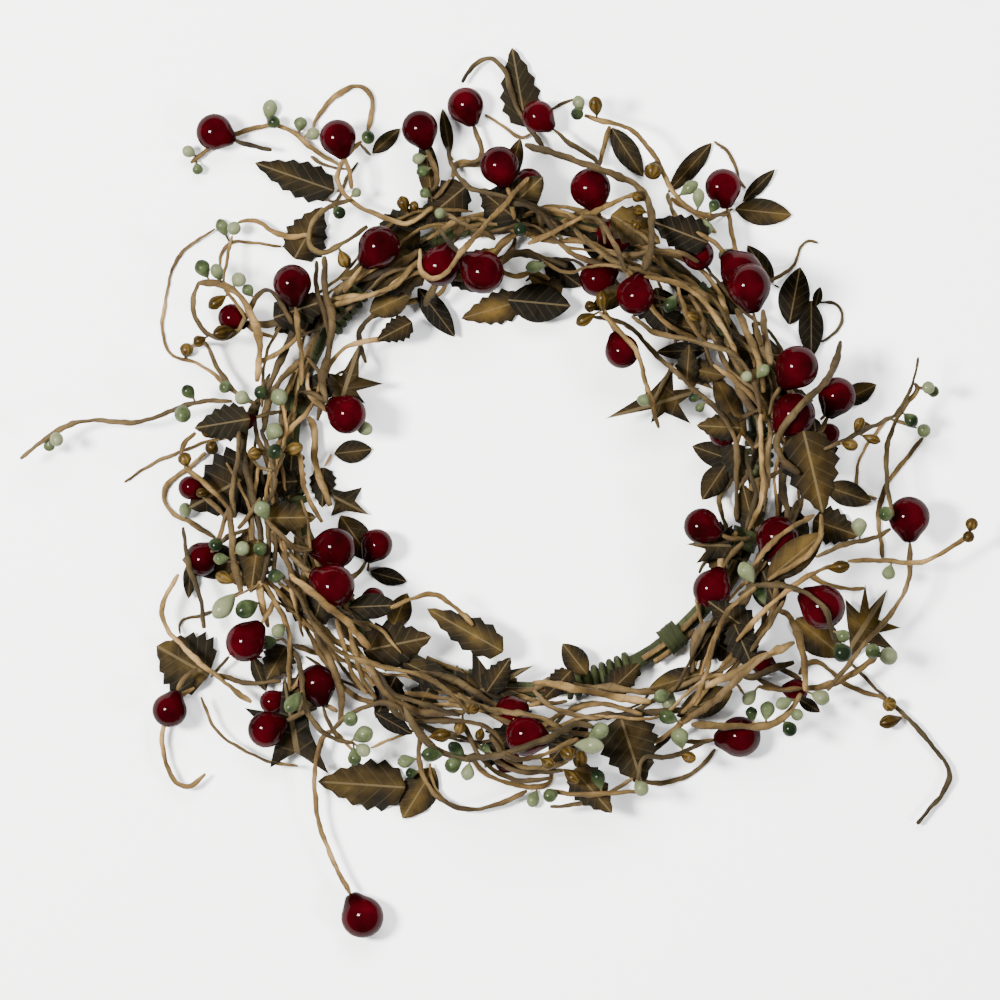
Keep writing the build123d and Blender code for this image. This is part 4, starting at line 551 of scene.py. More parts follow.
# The bands are short sleeves of the wound tape, bored to fit over the hoop and its stems.
TIE_ROWS = 41
TIE_SIDES = 40
TIE_TURNS = 3.4
TIE_EDGE = 0.16
TIE_LUMPS = ((2.9, 1.3), (0.05, 0.03))
seat_side = seat_radius * math.cos(math.radians(SIDE_SEAT))
seat_rise = seat_radius * math.sin(math.radians(SIDE_SEAT))
root_corner = math.hypot(seat_side, seat_rise - TIE_RISE)
tie_bore_radius = root_corner + ROOT_DIAMETER / 2 + 2 * TAPE_CLEARANCE
tie_outer_radius = tie_bore_radius + TIE_THICKNESS
tie_skins = []
for angle in TIE_ANGLES:
    middle = around(angle, 0, TIE_RISE)
    ahead = np.array((-math.sin(math.radians(angle)), math.cos(math.radians(angle)), 0))
    outward = np.array((math.cos(math.radians(angle)), math.sin(math.radians(angle)), 0))
    for step in np.linspace(-0.5, 0.5, 11):
        for about in np.arange(0, 360, 15):
            side = math.cos(math.radians(about)) * (tie_outer_radius - TIE_THICKNESS / 2)
            up = math.sin(math.radians(about)) * (tie_outer_radius - TIE_THICKNESS / 2)
            spot = middle + ahead * step * TIE_LENGTH + outward * side + np.array((0, 0, up))
            heap.add(np.array([(*spot, TIE_THICKNESS / 2)]), HOOP)
    share = np.linspace(0, 1, TIE_ROWS)
    around_share = np.linspace(0, 1, TIE_SIDES, endpoint=False)
    spiral = np.mod(share[:, None] * TIE_TURNS + around_share[None, :], 1)
    radii = tie_outer_radius - TIE_EDGE * spiral + waves(share * TIE_LENGTH, angle, *TIE_LUMPS)[:, None]
    path = middle + (share[:, None] - 0.5) * TIE_LENGTH * ahead
    outer, wrap = tube_skin(path, radii, TIE_SIDES)
    inner, _ = tube_skin(path, np.full(len(path), tie_bore_radius), TIE_SIDES)
    grid = np.concatenate((outer, inner[::-1], outer[:1]))
    wrap = np.concatenate((wrap, wrap[::-1], wrap[:1]))
    tie_skins.append((grid, wrap, (angle * 0.11) % 1))

# Sprays: twigs, hips on stems and leaves are laid on the hoop layer by layer, as the maker's
# hand does. Each piece comes to rest on what lies below it, and pips then find free seats.
# Twigs: thickness, layer, route in pixels
STEM_DIAMETER = 1.9
TWIG_DIAMETER = 1.35
TENDRIL_DIAMETER = 0.9
TWIG_DIAMETERS = {"stem": STEM_DIAMETER, "twig": TWIG_DIAMETER, "tendril": TENDRIL_DIAMETER}
TWIGS_PX = (
    ("twig", 3, ((190, 162), (212, 144), (240, 131), (270, 122), (291, 129), (314, 150), (340, 165))),
    ("tendril", 2, ((310, 155), (328, 167), (346, 168))),
    ("twig", 5, ((313, 122), (325, 102), (344, 88), (361, 81), (372, 95), (372, 114), (367, 130))),
    ("twig", 4, ((362, 142), (343, 158), (335, 180), (350, 203), (380, 217), (408, 228), (433, 208))),
    ("tendril", 3, ((357, 161), (343, 182), (337, 204))),
    ("twig", 5, ((352, 201), (328, 206), (310, 226), (308, 248), (323, 257), (345, 243), (368, 227))),
    ("twig", 4, ((238, 222), (252, 217), (268, 229), (286, 237), (305, 235))),
    ("tendril", 3, ((227, 239), (219, 253), (219, 268))),
    ("tendril", 2, ((176, 252), (165, 290), (160, 330), (168, 358), (188, 358), (207, 369), (232, 392))),
    ("twig", 5, (
        (200, 282), (191, 309), (206, 337), (233, 341), (250, 316), (262, 286), (278, 296), (294, 325)
    )),
    ("stem", 6, ((200, 284), (222, 283), (244, 298), (258, 325), (262, 352), (258, 382))),
    ("tendril", 5, ((222, 286), (238, 304), (248, 322))),
    ("twig", 3, ((208, 338), (214, 365), (238, 396), (256, 404))),
    ("twig", 5, ((317, 262), (317, 290), (326, 316), (331, 340))),
    ("stem", 6, ((325, 258), (326, 293), (335, 322), (330, 352), (323, 378), (328, 404))),
    ("twig", 4, ((307, 357), (320, 370), (324, 396), (318, 420))),
    ("twig", 4, ((309, 373), (306, 393), (326, 409), (356, 424))),
    ("stem", 3, ((233, 321), (260, 326), (287, 322))),
    ("twig", 5, ((22, 459), (56, 431), (90, 418), (130, 425), (165, 415), (198, 401), (234, 402))),
    ("tendril", 3, ((123, 482), (149, 464), (177, 452), (206, 441), (232, 436))),
    ("twig", 6, ((197, 433), (181, 447), (185, 467), (214, 489), (231, 510))),
    ("stem", 7, ((231, 506), (233, 530), (235, 556), (243, 592))),
    ("twig", 5, ((181, 472), (160, 489), (166, 511), (190, 523), (214, 538))),
    ("twig", 5, ((184, 527), (188, 562), (202, 598), (205, 628))),
    ("twig", 6, ((179, 574), (160, 606), (168, 632), (202, 664), (230, 686), (252, 702))),
    ("twig", 3, ((214, 674), (245, 684), (281, 681))),
    ("twig", 3, ((194, 688), (168, 702), (160, 740), (168, 776), (187, 792), (205, 774))),
    ("tendril", 3, ((201, 697), (212, 728), (240, 750), (272, 763), (298, 766))),
    ("tendril", 2, ((176, 621), (194, 617), (214, 611))),
    ("tendril", 3, ((229, 654), (242, 658), (262, 657))),
    ("twig", 6, ((283, 638), (300, 654), (304, 688), (309, 717), (328, 736), (354, 742))),
    ("twig", 6, ((264, 578), (284, 612), (293, 640), (289, 668), (291, 690))),
    ("stem", 7, ((293, 574), (324, 598), (351, 622), (371, 647))),
    ("twig", 7, ((303, 595), (318, 628), (345, 654), (392, 667), (430, 675), (452, 692), (470, 712))),
    ("stem", 6, ((317, 630), (334, 664), (343, 692), (341, 722))),
    ("twig", 8, ((334, 728), (352, 711), (378, 700), (397, 702), (412, 722), (428, 742))),
    ("twig", 5, ((350, 625), (357, 651), (362, 676), (377, 698))),
    ("twig", 5, ((337, 618), (347, 646), (352, 673), (368, 692))),
    ("twig", 4, ((462, 82), (469, 67), (489, 54), (505, 67), (511, 92), (522, 118), (544, 147))),
    ("tendril", 3, ((485, 113), (501, 123), (521, 139))),
    ("tendril", 3, ((546, 112), (558, 104), (573, 98))),
    ("stem", 3, ((455, 161), (468, 163), (484, 161))),
    ("twig", 8, ((528, 180), (496, 218), (467, 250), (448, 276), (430, 285), (420, 272), (421, 252))),
    ("twig", 5, ((448, 148), (453, 172), (471, 193), (510, 200), (545, 213), (568, 232))),
    ("twig", 4, ((450, 180), (443, 191), (434, 199))),
    ("twig", 6, ((500, 208), (525, 205), (545, 221), (562, 242))),
    ("stem", 8, ((525, 147), (568, 161), (608, 176), (640, 187), (651, 215), (649, 250), (643, 274))),
    ("twig", 7, ((440, 214), (465, 227), (495, 241))),
    ("twig", 6, ((584, 117), (608, 124), (634, 131), (655, 158), (668, 186), (684, 211), (707, 218))),
    ("twig", 5, ((610, 125), (604, 147), (599, 166))),
    ("twig", 7, ((640, 193), (604, 209), (564, 229), (528, 246))),
    ("twig", 7, ((581, 219), (600, 222), (614, 250), (624, 276))),
    ("twig", 6, ((574, 231), (590, 250), (615, 260), (645, 255), (678, 253), (697, 264))),
    ("twig", 6, ((582, 238), (605, 262), (634, 272), (662, 283), (690, 287))),
    ("twig", 7, ((642, 280), (672, 284), (698, 298), (714, 318), (728, 340), (735, 360))),
    ("twig", 6, ((676, 289), (682, 311), (693, 331), (707, 346))),
    ("twig", 5, ((688, 296), (702, 318), (703, 344), (712, 366))),
    ("twig", 8, ((630, 319), (654, 336), (690, 341), (730, 353), (751, 378), (757, 415))),
    ("twig", 8, ((757, 415), (757, 450), (761, 486), (755, 511), (745, 530))),
    ("twig", 7, ((712, 366), (734, 383), (753, 400), (764, 424))),
    ("twig", 7, (
        (626, 323), (645, 345), (670, 369), (697, 394), (724, 420), (735, 450), (733, 488), (734, 520)
    )),
    ("twig", 7, ((598, 314), (616, 331), (633, 348), (642, 374), (649, 400), (658, 428))),
    ("twig", 5, ((672, 364), (663, 384), (652, 404))),
    ("twig", 7, ((742, 450), (747, 473), (754, 493), (749, 513), (743, 530))),
    ("twig", 6, ((767, 433), (764, 460), (766, 488))),
    ("stem", 8, ((838, 343), (829, 376), (803, 400), (780, 424), (771, 445), (777, 462), (795, 474))),
    ("twig", 8, ((811, 515), (784, 529), (762, 547), (750, 569), (744, 584))),
    ("twig", 8, ((816, 514), (817, 537), (808, 552), (788, 565), (764, 579))),
    ("twig", 5, ((924, 438), (906, 460), (887, 484), (879, 510), (881, 534), (884, 558))),
    ("twig", 6, ((919, 388), (895, 415), (884, 450), (884, 482), (890, 516))),
    ("twig", 6, ((893, 416), (866, 428), (844, 439), (819, 450))),
    ("tendril", 3, ((889, 418), (870, 440), (858, 465), (856, 492))),
    ("tendril", 7, ((916, 358), (912, 380), (905, 399), (888, 420))),
    ("twig", 6, ((968, 534), (944, 552), (911, 565), (884, 559), (846, 561))),
    ("twig", 6, ((828, 565), (802, 575), (782, 590), (758, 612), (734, 640))),
    ("twig", 4, ((810, 575), (826, 584), (842, 589), (860, 590))),
    ("twig", 5, ((889, 529), (872, 539), (845, 542), (812, 556))),
    ("twig", 8, ((736, 594), (756, 582), (780, 584), (803, 591), (820, 606), (830, 640))),
    ("stem", 7, ((786, 612), (798, 636), (803, 664), (804, 690))),
    ("twig", 6, ((780, 600), (766, 624), (748, 650))),
    ("twig", 8, ((752, 586), (734, 599), (719, 618), (710, 650), (702, 680), (694, 700), (680, 712))),
    ("stem", 6, ((700, 688), (729, 673), (760, 655), (792, 642))),
    ("stem", 7, ((682, 722), (706, 705), (726, 687), (743, 667), (765, 652))),
    ("stem", 4, ((750, 680), (771, 669), (794, 662))),
    ("twig", 4, ((758, 686), (780, 690), (803, 688))),
    ("stem", 7, ((690, 723), (730, 725), (766, 726), (788, 713), (799, 692))),
    ("twig", 3, ((716, 750), (702, 769), (680, 781), (655, 786), (630, 776))),
    ("stem", 4, ((802, 688), (822, 686), (843, 680), (862, 666), (876, 656))),
    ("twig", 3, ((810, 658), (828, 667), (843, 683), (862, 692), (892, 701))),
    ("twig", 3, ((892, 703), (914, 723), (936, 750), (955, 772), (942, 797), (918, 825))),
    ("tendril", 3, ((795, 268), (799, 250), (806, 237), (819, 242))),
    ("tendril", 4, ((821, 302), (838, 300), (846, 315), (838, 332), (825, 341))),
    ("tendril", 4, ((715, 140), (733, 153), (741, 182))),
    ("twig", 5, ((683, 205), (703, 216), (717, 232))),
    ("stem", 5, ((735, 310), (747, 338), (758, 368), (760, 394))),
    ("stem", 4, ((761, 312), (762, 340), (768, 366))),
    ("twig", 6, ((262, 430), (269, 448), (276, 470), (277, 490), (268, 503))),
    ("tendril", 6, ((274, 471), (258, 467), (250, 454), (259, 446), (271, 457))),
    ("twig", 5, ((241, 432), (239, 465), (232, 495), (236, 517))),
    ("stem", 6, ((316, 428), (312, 456), (321, 482), (330, 506))),
    ("twig", 5, ((300, 452), (304, 482), (312, 504), (324, 522))),
    ("tendril", 7, ((303, 500), (311, 524), (312, 552))),
    ("twig", 8, ((269, 520), (286, 537), (300, 551), (314, 549))),
    ("twig", 6, ((270, 524), (271, 552), (265, 582))),
    ("twig", 5, ((277, 532), (278, 554), (274, 574))),
    ("twig", 6, ((286, 538), (289, 560), (300, 584))),
    ("twig", 5, ((300, 558), (308, 572), (319, 584))),
    ("twig", 7, ((240, 528), (252, 515), (262, 498))),
    ("stem", 5, ((262, 580), (263, 602), (269, 626))),
    ("twig", 6, ((229, 510), (222, 530), (219, 547))),
    ("twig", 6, ((382, 672), (390, 691), (423, 702), (460, 714))),
    ("twig", 6, ((406, 691), (440, 696), (474, 702), (502, 712))),
    ("twig", 7, ((458, 692), (485, 707), (524, 710), (551, 718), (572, 733))),
    ("stem", 8, ((405, 704), (418, 731), (440, 751), (470, 756), (501, 751), (540, 738), (578, 719))),
    ("twig", 7, ((415, 719), (445, 720), (476, 719), (498, 733), (504, 752))),
    ("stem", 7, ((533, 681), (560, 683), (586, 690), (616, 696), (650, 701))),
    ("twig", 6, ((533, 689), (550, 706), (575, 714), (602, 717))),
    ("twig", 8, ((502, 748), (521, 757), (546, 750), (577, 735))),
    ("twig", 5, ((464, 724), (477, 752), (495, 773), (523, 781), (552, 777))),
    ("twig", 4, ((470, 757), (487, 778), (516, 787), (552, 788))),
    ("twig", 7, ((490, 734), (505, 757), (527, 768), (562, 764))),
    ("twig", 4, ((419, 736), (419, 770), (433, 796), (460, 811), (497, 807), (527, 791))),
    ("tendril", 3, ((430, 764), (431, 785), (446, 803))),
    ("twig", 5, ((548, 789), (580, 795), (612, 791), (644, 791))),
    ("twig", 4, ((550, 806), (580, 804), (607, 794), (632, 777))),
    ("twig", 6, ((392, 607), (414, 596), (436, 592), (456, 606), (473, 625))),
    ("twig", 5, ((640, 753), (664, 757), (688, 750), (704, 741))),
)

# Hips: middle, diameter, layer, route of the stem from the hip outward
HIPS_PX = (
    ((214, 133), 36, 4, ((234, 140), (249, 146), (272, 150))),
    ((338, 139), 36, 5, ((345, 158), (350, 172), (352, 190))),
    ((423, 129), 36, 5, ((428, 152), (434, 168), (440, 188))),
    ((468, 104), 36, 5, ((474, 127), (480, 142), (487, 160))),
    ((542, 113), 32, 6, ((553, 129), (572, 145), (601, 162))),
    ((497, 169), 38, 5, ((507, 190), (512, 204), (514, 222))),
    ((526, 186), 32, 3, ((535, 204), (540, 218), (543, 236))),
    ((586, 192), 40, 5, ((597, 213), (602, 228), (604, 246))),
    ((722, 187), 36, 5, ((727, 209), (731, 230), (737, 256), (744, 284))),
    ((379, 248), 42, 5, ((364, 268), (354, 280), (345, 294))),
    ((295, 285), 38, 6, ((297, 309), (300, 332), (303, 358), (302, 386))),
    ((440, 268), 40, 5, ((452, 248), (460, 234), (470, 220))),
    ((489, 257), 42, 6, ((464, 259), (450, 248), (440, 232))),
    ((612, 236), 36, 3, ((603, 254), (596, 266), (590, 280))),
    ((599, 283), 36, 3, ((614, 270), (626, 262), (642, 256))),
    ((633, 298), 38, 6, ((640, 275), (644, 260), (652, 244))),
    ((616, 354), 34, 5, ((613, 333), (608, 320), (600, 306))),
    ((696, 256), 32, 4, ((687, 238), (680, 226), (672, 214))),
    ((711, 278), 42, 6, ((721, 257), (712, 243), (695, 234))),
    ((761, 291), 44, 7, ((750, 315), (752, 330), (758, 348))),
    ((795, 370), 42, 6, ((780, 386), (770, 398), (766, 416))),
    ((776, 381), 30, 3, ((764, 394), (758, 408), (758, 424))),
    ((831, 395), 38, 5, ((826, 417), (820, 431), (808, 444))),
    ((788, 413), 42, 6, ((774, 430), (764, 440), (752, 448))),
    ((828, 433), 22, 3, ((815, 434), (802, 434), (786, 438))),
    ((234, 317), 28, 4, ((248, 327), (260, 334), (276, 338))),
    ((346, 418), 38, 5, ((330, 404), (318, 396), (304, 392))),
    ((720, 433), 28, 4, ((733, 424), (744, 416), (758, 410))),
    ((796, 459), 34, 4, ((780, 470), (768, 478), (754, 480))),
    ((703, 521), 35, 5, ((719, 534), (732, 540), (750, 538))),
    ((778, 539), 42, 5, ((764, 557), (756, 570), (744, 584))),
    ((714, 590), 38, 5, ((722, 567), (730, 553), (742, 542))),
    ((911, 517), 41, 6, ((908, 542), (909, 572), (901, 598), (884, 620), (864, 642))),
    ((819, 605), 44, 6, ((797, 592), (784, 584), (768, 582))),
    ((334, 539), 42, 6, ((314, 547), (300, 549), (284, 542))),
    ((370, 542), 32, 4, ((366, 562), (358, 574), (342, 584))),
    ((338, 580), 42, 6, ((316, 572), (302, 564), (290, 552))),
    ((371, 595), 24, 3, ((362, 606), (350, 614), (334, 616))),
    ((243, 636), 40, 6, ((262, 623), (272, 612), (276, 596))),
    ((322, 682), 38, 6, ((324, 706), (328, 720), (340, 738))),
    ((182, 711), 34, 5, ((178, 690), (184, 676), (198, 668))),
    ((266, 728), 36, 5, ((288, 720), (302, 714), (318, 700))),
    ((270, 700), 24, 3, ((284, 694), (296, 686), (304, 672))),
    ((740, 742), 42, 5, ((714, 740), (698, 742), (680, 742))),
    ((525, 734), 40, 6, ((548, 738), (564, 742), (586, 738))),
    ((510, 700), 30, 4, ((527, 704), (542, 700), (560, 692))),
    ((506, 766), 26, 4, ((521, 765), (536, 770), (554, 772))),
    ((190, 491), 24, 4, ((204, 496), (216, 504), (228, 520))),
    ((199, 555), 34, 5, ((216, 546), (228, 536), (246, 530))),
    ((360, 918), 42, 4, ((350, 893), (330, 856), (316, 815), (314, 778), (318, 746), (330, 726))),
    ((247, 422), 18, 4, ((257, 418), (268, 414), (282, 412))),
    ((762, 670), 24, 3, ((776, 668), (788, 672), (802, 680))),
    ((796, 684), 24, 3, ((782, 688), (770, 686), (756, 678))),
)

# Pips: middle, length, width
SAGE_PIPS_PX = (
    ((188, 151), 17, 12), ((197, 169), 13, 11), ((270, 103), 22, 15), ((274, 122), 15, 13),
    ((300, 123), 16, 14), ((313, 133), 17, 13), ((368, 139), 17, 14), ((357, 193), 12, 10),
    ((340, 214), 18, 13), ((221, 225), 20, 13), ((233, 230), 18, 14), ((204, 269), 21, 16),
    ((219, 273), 22, 13), ((241, 281), 18, 15), ((249, 291), 15, 12), ((190, 392), 18, 13),
    ((185, 415), 24, 17), ((59, 440), 20, 14), ((50, 446), 14, 12), ((403, 165), 15, 12),
    ((404, 180), 15, 12), ((417, 189), 13, 11), ((440, 216), 13, 11), ((520, 232), 18, 14),
    ((534, 268), 22, 13), ((578, 103), 17, 12), ((576, 116), 17, 13), ((692, 187), 22, 13),
    ((697, 199), 22, 12), ((713, 207), 15, 12), ((705, 230), 18, 14), ((724, 255), 16, 12),
    ((742, 260), 24, 14), ((760, 372), 18, 12), ((743, 378), 14, 11), ((742, 569), 24, 16),
    ((642, 401), 14, 13), ((932, 392), 15, 12), ((944, 389), 16, 13), ((910, 421), 18, 14),
    ((925, 421), 18, 14), ((856, 514), 20, 16), ((881, 514), 18, 15), ((885, 580), 16, 14),
    ((757, 590), 24, 13), ((185, 510), 27, 13), ((217, 545), 18, 14), ((212, 559), 16, 12),
    ((225, 607), 34, 19), ((248, 608), 30, 19), ((280, 630), 18, 14), ((269, 642), 18, 16),
    ((294, 702), 30, 15), ((362, 427), 27, 14), ((262, 393), 17, 14), ((281, 398), 24, 17),
    ((243, 398), 18, 15), ((225, 387), 15, 13), ((276, 431), 20, 17), ((277, 452), 22, 15),
    ((265, 509), 22, 16), ((245, 548), 18, 15), ((262, 549), 17, 14), ((262, 583), 18, 14),
    ((277, 575), 18, 14), ((239, 433), 16, 13), ((365, 733), 24, 17), ((369, 752), 20, 14),
    ((357, 782), 19, 14), ((393, 764), 19, 14), ((386, 778), 13, 11), ((352, 717), 20, 15),
    ((456, 745), 26, 13), ((453, 762), 20, 16), ((468, 770), 18, 14), ((431, 752), 24, 15),
    ((599, 728), 24, 17), ((590, 742), 32, 16), ((660, 695), 24, 14), ((669, 703), 19, 15),
    ((665, 715), 22, 15), ((679, 735), 22, 18), ((549, 794), 19, 14), ((533, 801), 19, 13),
    ((597, 774), 22, 14), ((592, 786), 18, 11), ((640, 786), 20, 15), ((492, 281), 15, 12),
    ((490, 292), 15, 12), ((837, 651), 24, 19), ((838, 634), 16, 13), ((821, 697), 20, 16),
    ((788, 728), 20, 15), ((795, 713), 18, 12), ((748, 698), 20, 13), ((766, 708), 20, 15),
    ((781, 702), 20, 13), ((750, 711), 16, 12), ((871, 651), 18, 16), ((893, 655), 26, 18),
    ((691, 399), 12, 9), ((688, 417), 12, 9), ((668, 307), 20, 14), ((485, 744), 12, 9),
)
GOLD_PIPS_PX = (
    ((187, 345), 17, 14), ((200, 342), 15, 12), ((214, 306), 22, 13), ((224, 334), 28, 15),
    ((399, 191), 18, 13), ((410, 203), 12, 10), ((595, 107), 24, 14), ((636, 199), 14, 12),
    ((637, 213), 14, 12), ((635, 227), 13, 11), ((207, 431), 22, 13), ((211, 448), 16, 14),
    ((187, 459), 17, 14), ((198, 494), 13, 10), ((854, 425), 18, 11), ((868, 440), 20, 10),
    ((845, 446), 20, 12), ((836, 566), 24, 13), ((969, 524), 17, 13), ((979, 528), 16, 12),
    ((567, 749), 24, 15), ((580, 761), 24, 15), ((572, 775), 21, 13), ((548, 759), 16, 12),
    ((443, 733), 22, 14), ((474, 706), 19, 11), ((345, 262), 20, 14), ((256, 454), 18, 14),
    ((296, 449), 22, 14), ((547, 341), 22, 13), ((688, 756), 19, 12), ((889, 704), 17, 15),
    ((889, 722), 26, 14), ((225, 577), 22, 13), ((690, 318), 18, 11), ((652, 173), 22, 18),
    ((607, 287), 18, 13), ((601, 301), 22, 13), ((575, 312), 14, 12), ((860, 427), 14, 10),
    ((460, 726), 18, 12), ((480, 733), 16, 10),
)

# Leaves: outline, layer, base, tip, width
LEAVES_PX = (
    ("toothed", 1, (262, 468), (190, 508), 66),
    ("toothed", 2, (334, 190), (254, 162), 36),
    ("toothed", 2, (294, 258), (322, 206), 42),
    ("toothed", 2, (526, 126), (512, 46), 38),
    ("toothed", 2, (208, 676), (156, 646), 66),
    ("toothed", 2, (405, 788), (317, 782), 48),
    ("toothed", 5, (503, 651), (427, 608), 34),
    ("toothed", 4, (364, 650), (432, 636), 46),
    ("lance", 3, (398, 658), (462, 690), 26),
    ("toothed", 4, (620, 716), (642, 784), 56),
    ("lance", 3, (732, 690), (676, 716), 30),
    ("toothed", 6, (799, 432), (818, 513), 54),
    ("lance", 4, (826, 486), (873, 502), 26),
    ("toothed", 3, (814, 520), (860, 536), 36),
    ("toothed", 3, (428, 268), (340, 280), 46),
    ("lance", 2, (418, 288), (455, 337), 24),
    ("toothed", 2, (522, 300), (461, 318), 32),
    ("lance", 3, (508, 300), (571, 306), 40),
    ("lance", 2, (656, 288), (668, 338), 38),
    ("lance", 4, (630, 288), (590, 312), 22),
    ("lance", 3, (706, 350), (656, 352), 18),
    ("lance", 3, (714, 376), (746, 438), 24),
    ("lance", 3, (738, 462), (692, 446), 26),
    ("lance", 3, (726, 464), (702, 500), 26),
    ("lance", 4, (790, 324), (801, 266), 32),
    ("lance", 5, (812, 300), (812, 358), 26),
    ("lance", 4, (736, 208), (793, 214), 28),
    ("lance", 4, (744, 200), (776, 168), 14),
    ("lance", 5, (816, 306), (821, 286), 10),
    ("lance", 4, (774, 282), (748, 244), 20),
    ("lance", 4, (712, 142), (668, 192), 20),
    ("lance", 4, (372, 152), (400, 127), 16),
    ("lance", 4, (450, 152), (442, 107), 13),
    ("lance", 3, (432, 202), (424, 134), 22),
    ("lance", 4, (520, 141), (506, 190), 18),
    ("lance", 4, (612, 127), (644, 176), 24),
    ("lance", 4, (842, 402), (878, 384), 22),
    ("lance", 5, (764, 578), (820, 532), 32),
    ("lance", 3, (190, 560), (188, 599), 14),
    ("lance", 3, (252, 656), (266, 692), 15),
    ("lance", 3, (370, 572), (407, 582), 18),
    ("lance", 5, (350, 606), (400, 604), 26),
    ("toothed", 1, (336, 606), (276, 592), 52),
    ("toothed", 3, (286, 646), (266, 680), 32),
    ("lance", 3, (704, 672), (648, 688), 24),
    ("lance", 2, (718, 622), (692, 662), 26),
    ("lance", 4, (376, 712), (413, 733), 18),
    ("lance", 3, (798, 698), (820, 712), 13),
    ("lance", 2, (340, 516), (372, 562), 30),
    ("lance", 2, (420, 232), (366, 262), 44),
)

# Star leaves: layer, middle, tips
STARS_PX = (
    (5, (662, 402), ((605, 419), (672, 368), (700, 388), (690, 424), (650, 424))),
    (3, (694, 378), ((714, 390), (680, 362), (704, 364), (690, 392))),
    (2, (718, 545), ((685, 544), (695, 563), (732, 524), (742, 560), (708, 522))),
    (3, (294, 734), ((270, 768), (329, 774), (284, 672), (244, 708), (306, 700))),
    (3, (482, 690), ((472, 649), (534, 665), (450, 668), (520, 694), (470, 712))),
    (3, (346, 388), ((360, 344), (384, 384), (330, 420), (322, 372), (366, 404))),
    (3, (344, 502), ((362, 487), (369, 515), (326, 487), (330, 516))),
    (2, (864, 628), ((889, 589), (902, 628), (898, 652), (846, 599), (852, 662), (866, 584))),
)

# Bends of a laid twig: share of the shorter run that an arc takes, in line and straight limits
CORNER_SHARE = 0.45
LEAST_BEND = 0.8
LEAST_SWAY = 1e-4


def corners(points):
    """Start and end of the arc at each inner point, with its centre, radius and half angle."""
    found = []
    for before, corner, after in zip(points, points[1:], points[2:]):
        back, ahead = before - corner, after - corner
        reach = CORNER_SHARE * min(np.linalg.norm(back), np.linalg.norm(ahead))
        back, ahead = unit(back), unit(ahead)
        half = math.acos(max(-1, min(1, float(back @ ahead)))) / 2
        inward = unit(back + ahead)
        radius = reach * math.tan(half)
        centre = corner + inward * reach / math.cos(half)
        found.append((corner + back * reach, corner + ahead * reach, centre, radius, half))
    return found


def bent_enough(points):
    """Drops points that lie in line with their neighbours, which have no arc."""
    kept = [points[0]]
    for index in range(1, len(points) - 1):
        back, ahead = unit(kept[-1] - points[index]), unit(points[index + 1] - points[index])
        if float(back @ ahead) > -math.cos(math.radians(LEAST_BEND)):
            kept.append(points[index])
    kept.append(points[-1])
    return kept


def route_samples(points, radius):
    """Spheres along the real route, each with the index of its nearest point."""
    spheres = []
    owners = []
    here = points[0]
    for index, (start, end, centre, bend, half) in enumerate(corners(points)):
        steps = max(1, math.ceil(np.linalg.norm(start - here) / SAMPLE_STEP))
        for step in range(steps):
            share = step / steps
            spheres.append((*(here + (start - here) * share), radius))
            owners.append(index + (1 if share > 0.5 else 0))
        turn = math.pi - 2 * half
        steps = max(1, math.ceil(bend * turn / SAMPLE_STEP))
        for step in range(steps):
            share = step / steps
            first, last = start - centre, end - centre
            sway = math.sin(turn)
            if sway < LEAST_SWAY:
                spot = start + (end - start) * share
            else:
                spot = centre + (math.sin((1 - share) * turn) * first + math.sin(share * turn) * last) / sway
            spheres.append((*spot, radius))
            owners.append(index + 1)
        here = end
    steps = max(1, math.ceil(np.linalg.norm(points[-1] - here) / SAMPLE_STEP))
    for step in range(steps + 1):
        share = step / steps
        spheres.append((*(here + (points[-1] - here) * share), radius))
        owners.append(len(points) - 1 - (1 if share < 0.5 else 0))
    return np.array(spheres), np.array(owners)


def add_route(points, spheres, radius, hip, owner):
    """Adds a twig to the heap; spheres that bulge past its flat ends don't count as whole."""
    ends = [(points[-1], points[-2])]
    if hip is None:
        ends.append((points[0], points[1]))
    whole = np.ones(len(spheres) + len(ends), dtype=bool)
    for end, before in ends:
        whole[:len(spheres)] &= np.linalg.norm(spheres[:, :3] - end, axis=1) > radius
        spheres = np.vstack((spheres, (*(end + unit(before - end) * radius), radius)))
    heap.add(spheres, owner, whole[:len(spheres)])


BASE_LEVEL = 2.2
LEVEL_STEP = 1.7


def level(layer):
    """Height at which a layer's pieces start before they are laid."""
    return BASE_LEVEL + LEVEL_STEP * layer


HIP_NECK_SHARE = 0.62
HIP_NECK_SPHERE_SHARES = ((0.55, 0.62), (0.85, 0.42), (1.05, 0.34))


def hip_spheres(neck, ahead, diameter):
    """Spheres that stand for a hip whose stem leaves its neck towards a point."""
    axis = unit(neck - ahead)
    radius = diameter / 2
    middle = neck + axis * HIP_NECK_SHARE * diameter
    rows = [(*middle, radius)]
    for share, width in HIP_NECK_SPHERE_SHARES:
        rows.append((*(middle - axis * radius * share), radius * width))
    return np.array(rows)


SETTLE_GAP = 0.12
SETTLE_ROUNDS = 60
SETTLED_LIFT = 1e-3
STEEPEST_SHARE = 0.9
HEAP_REACH = 12.0


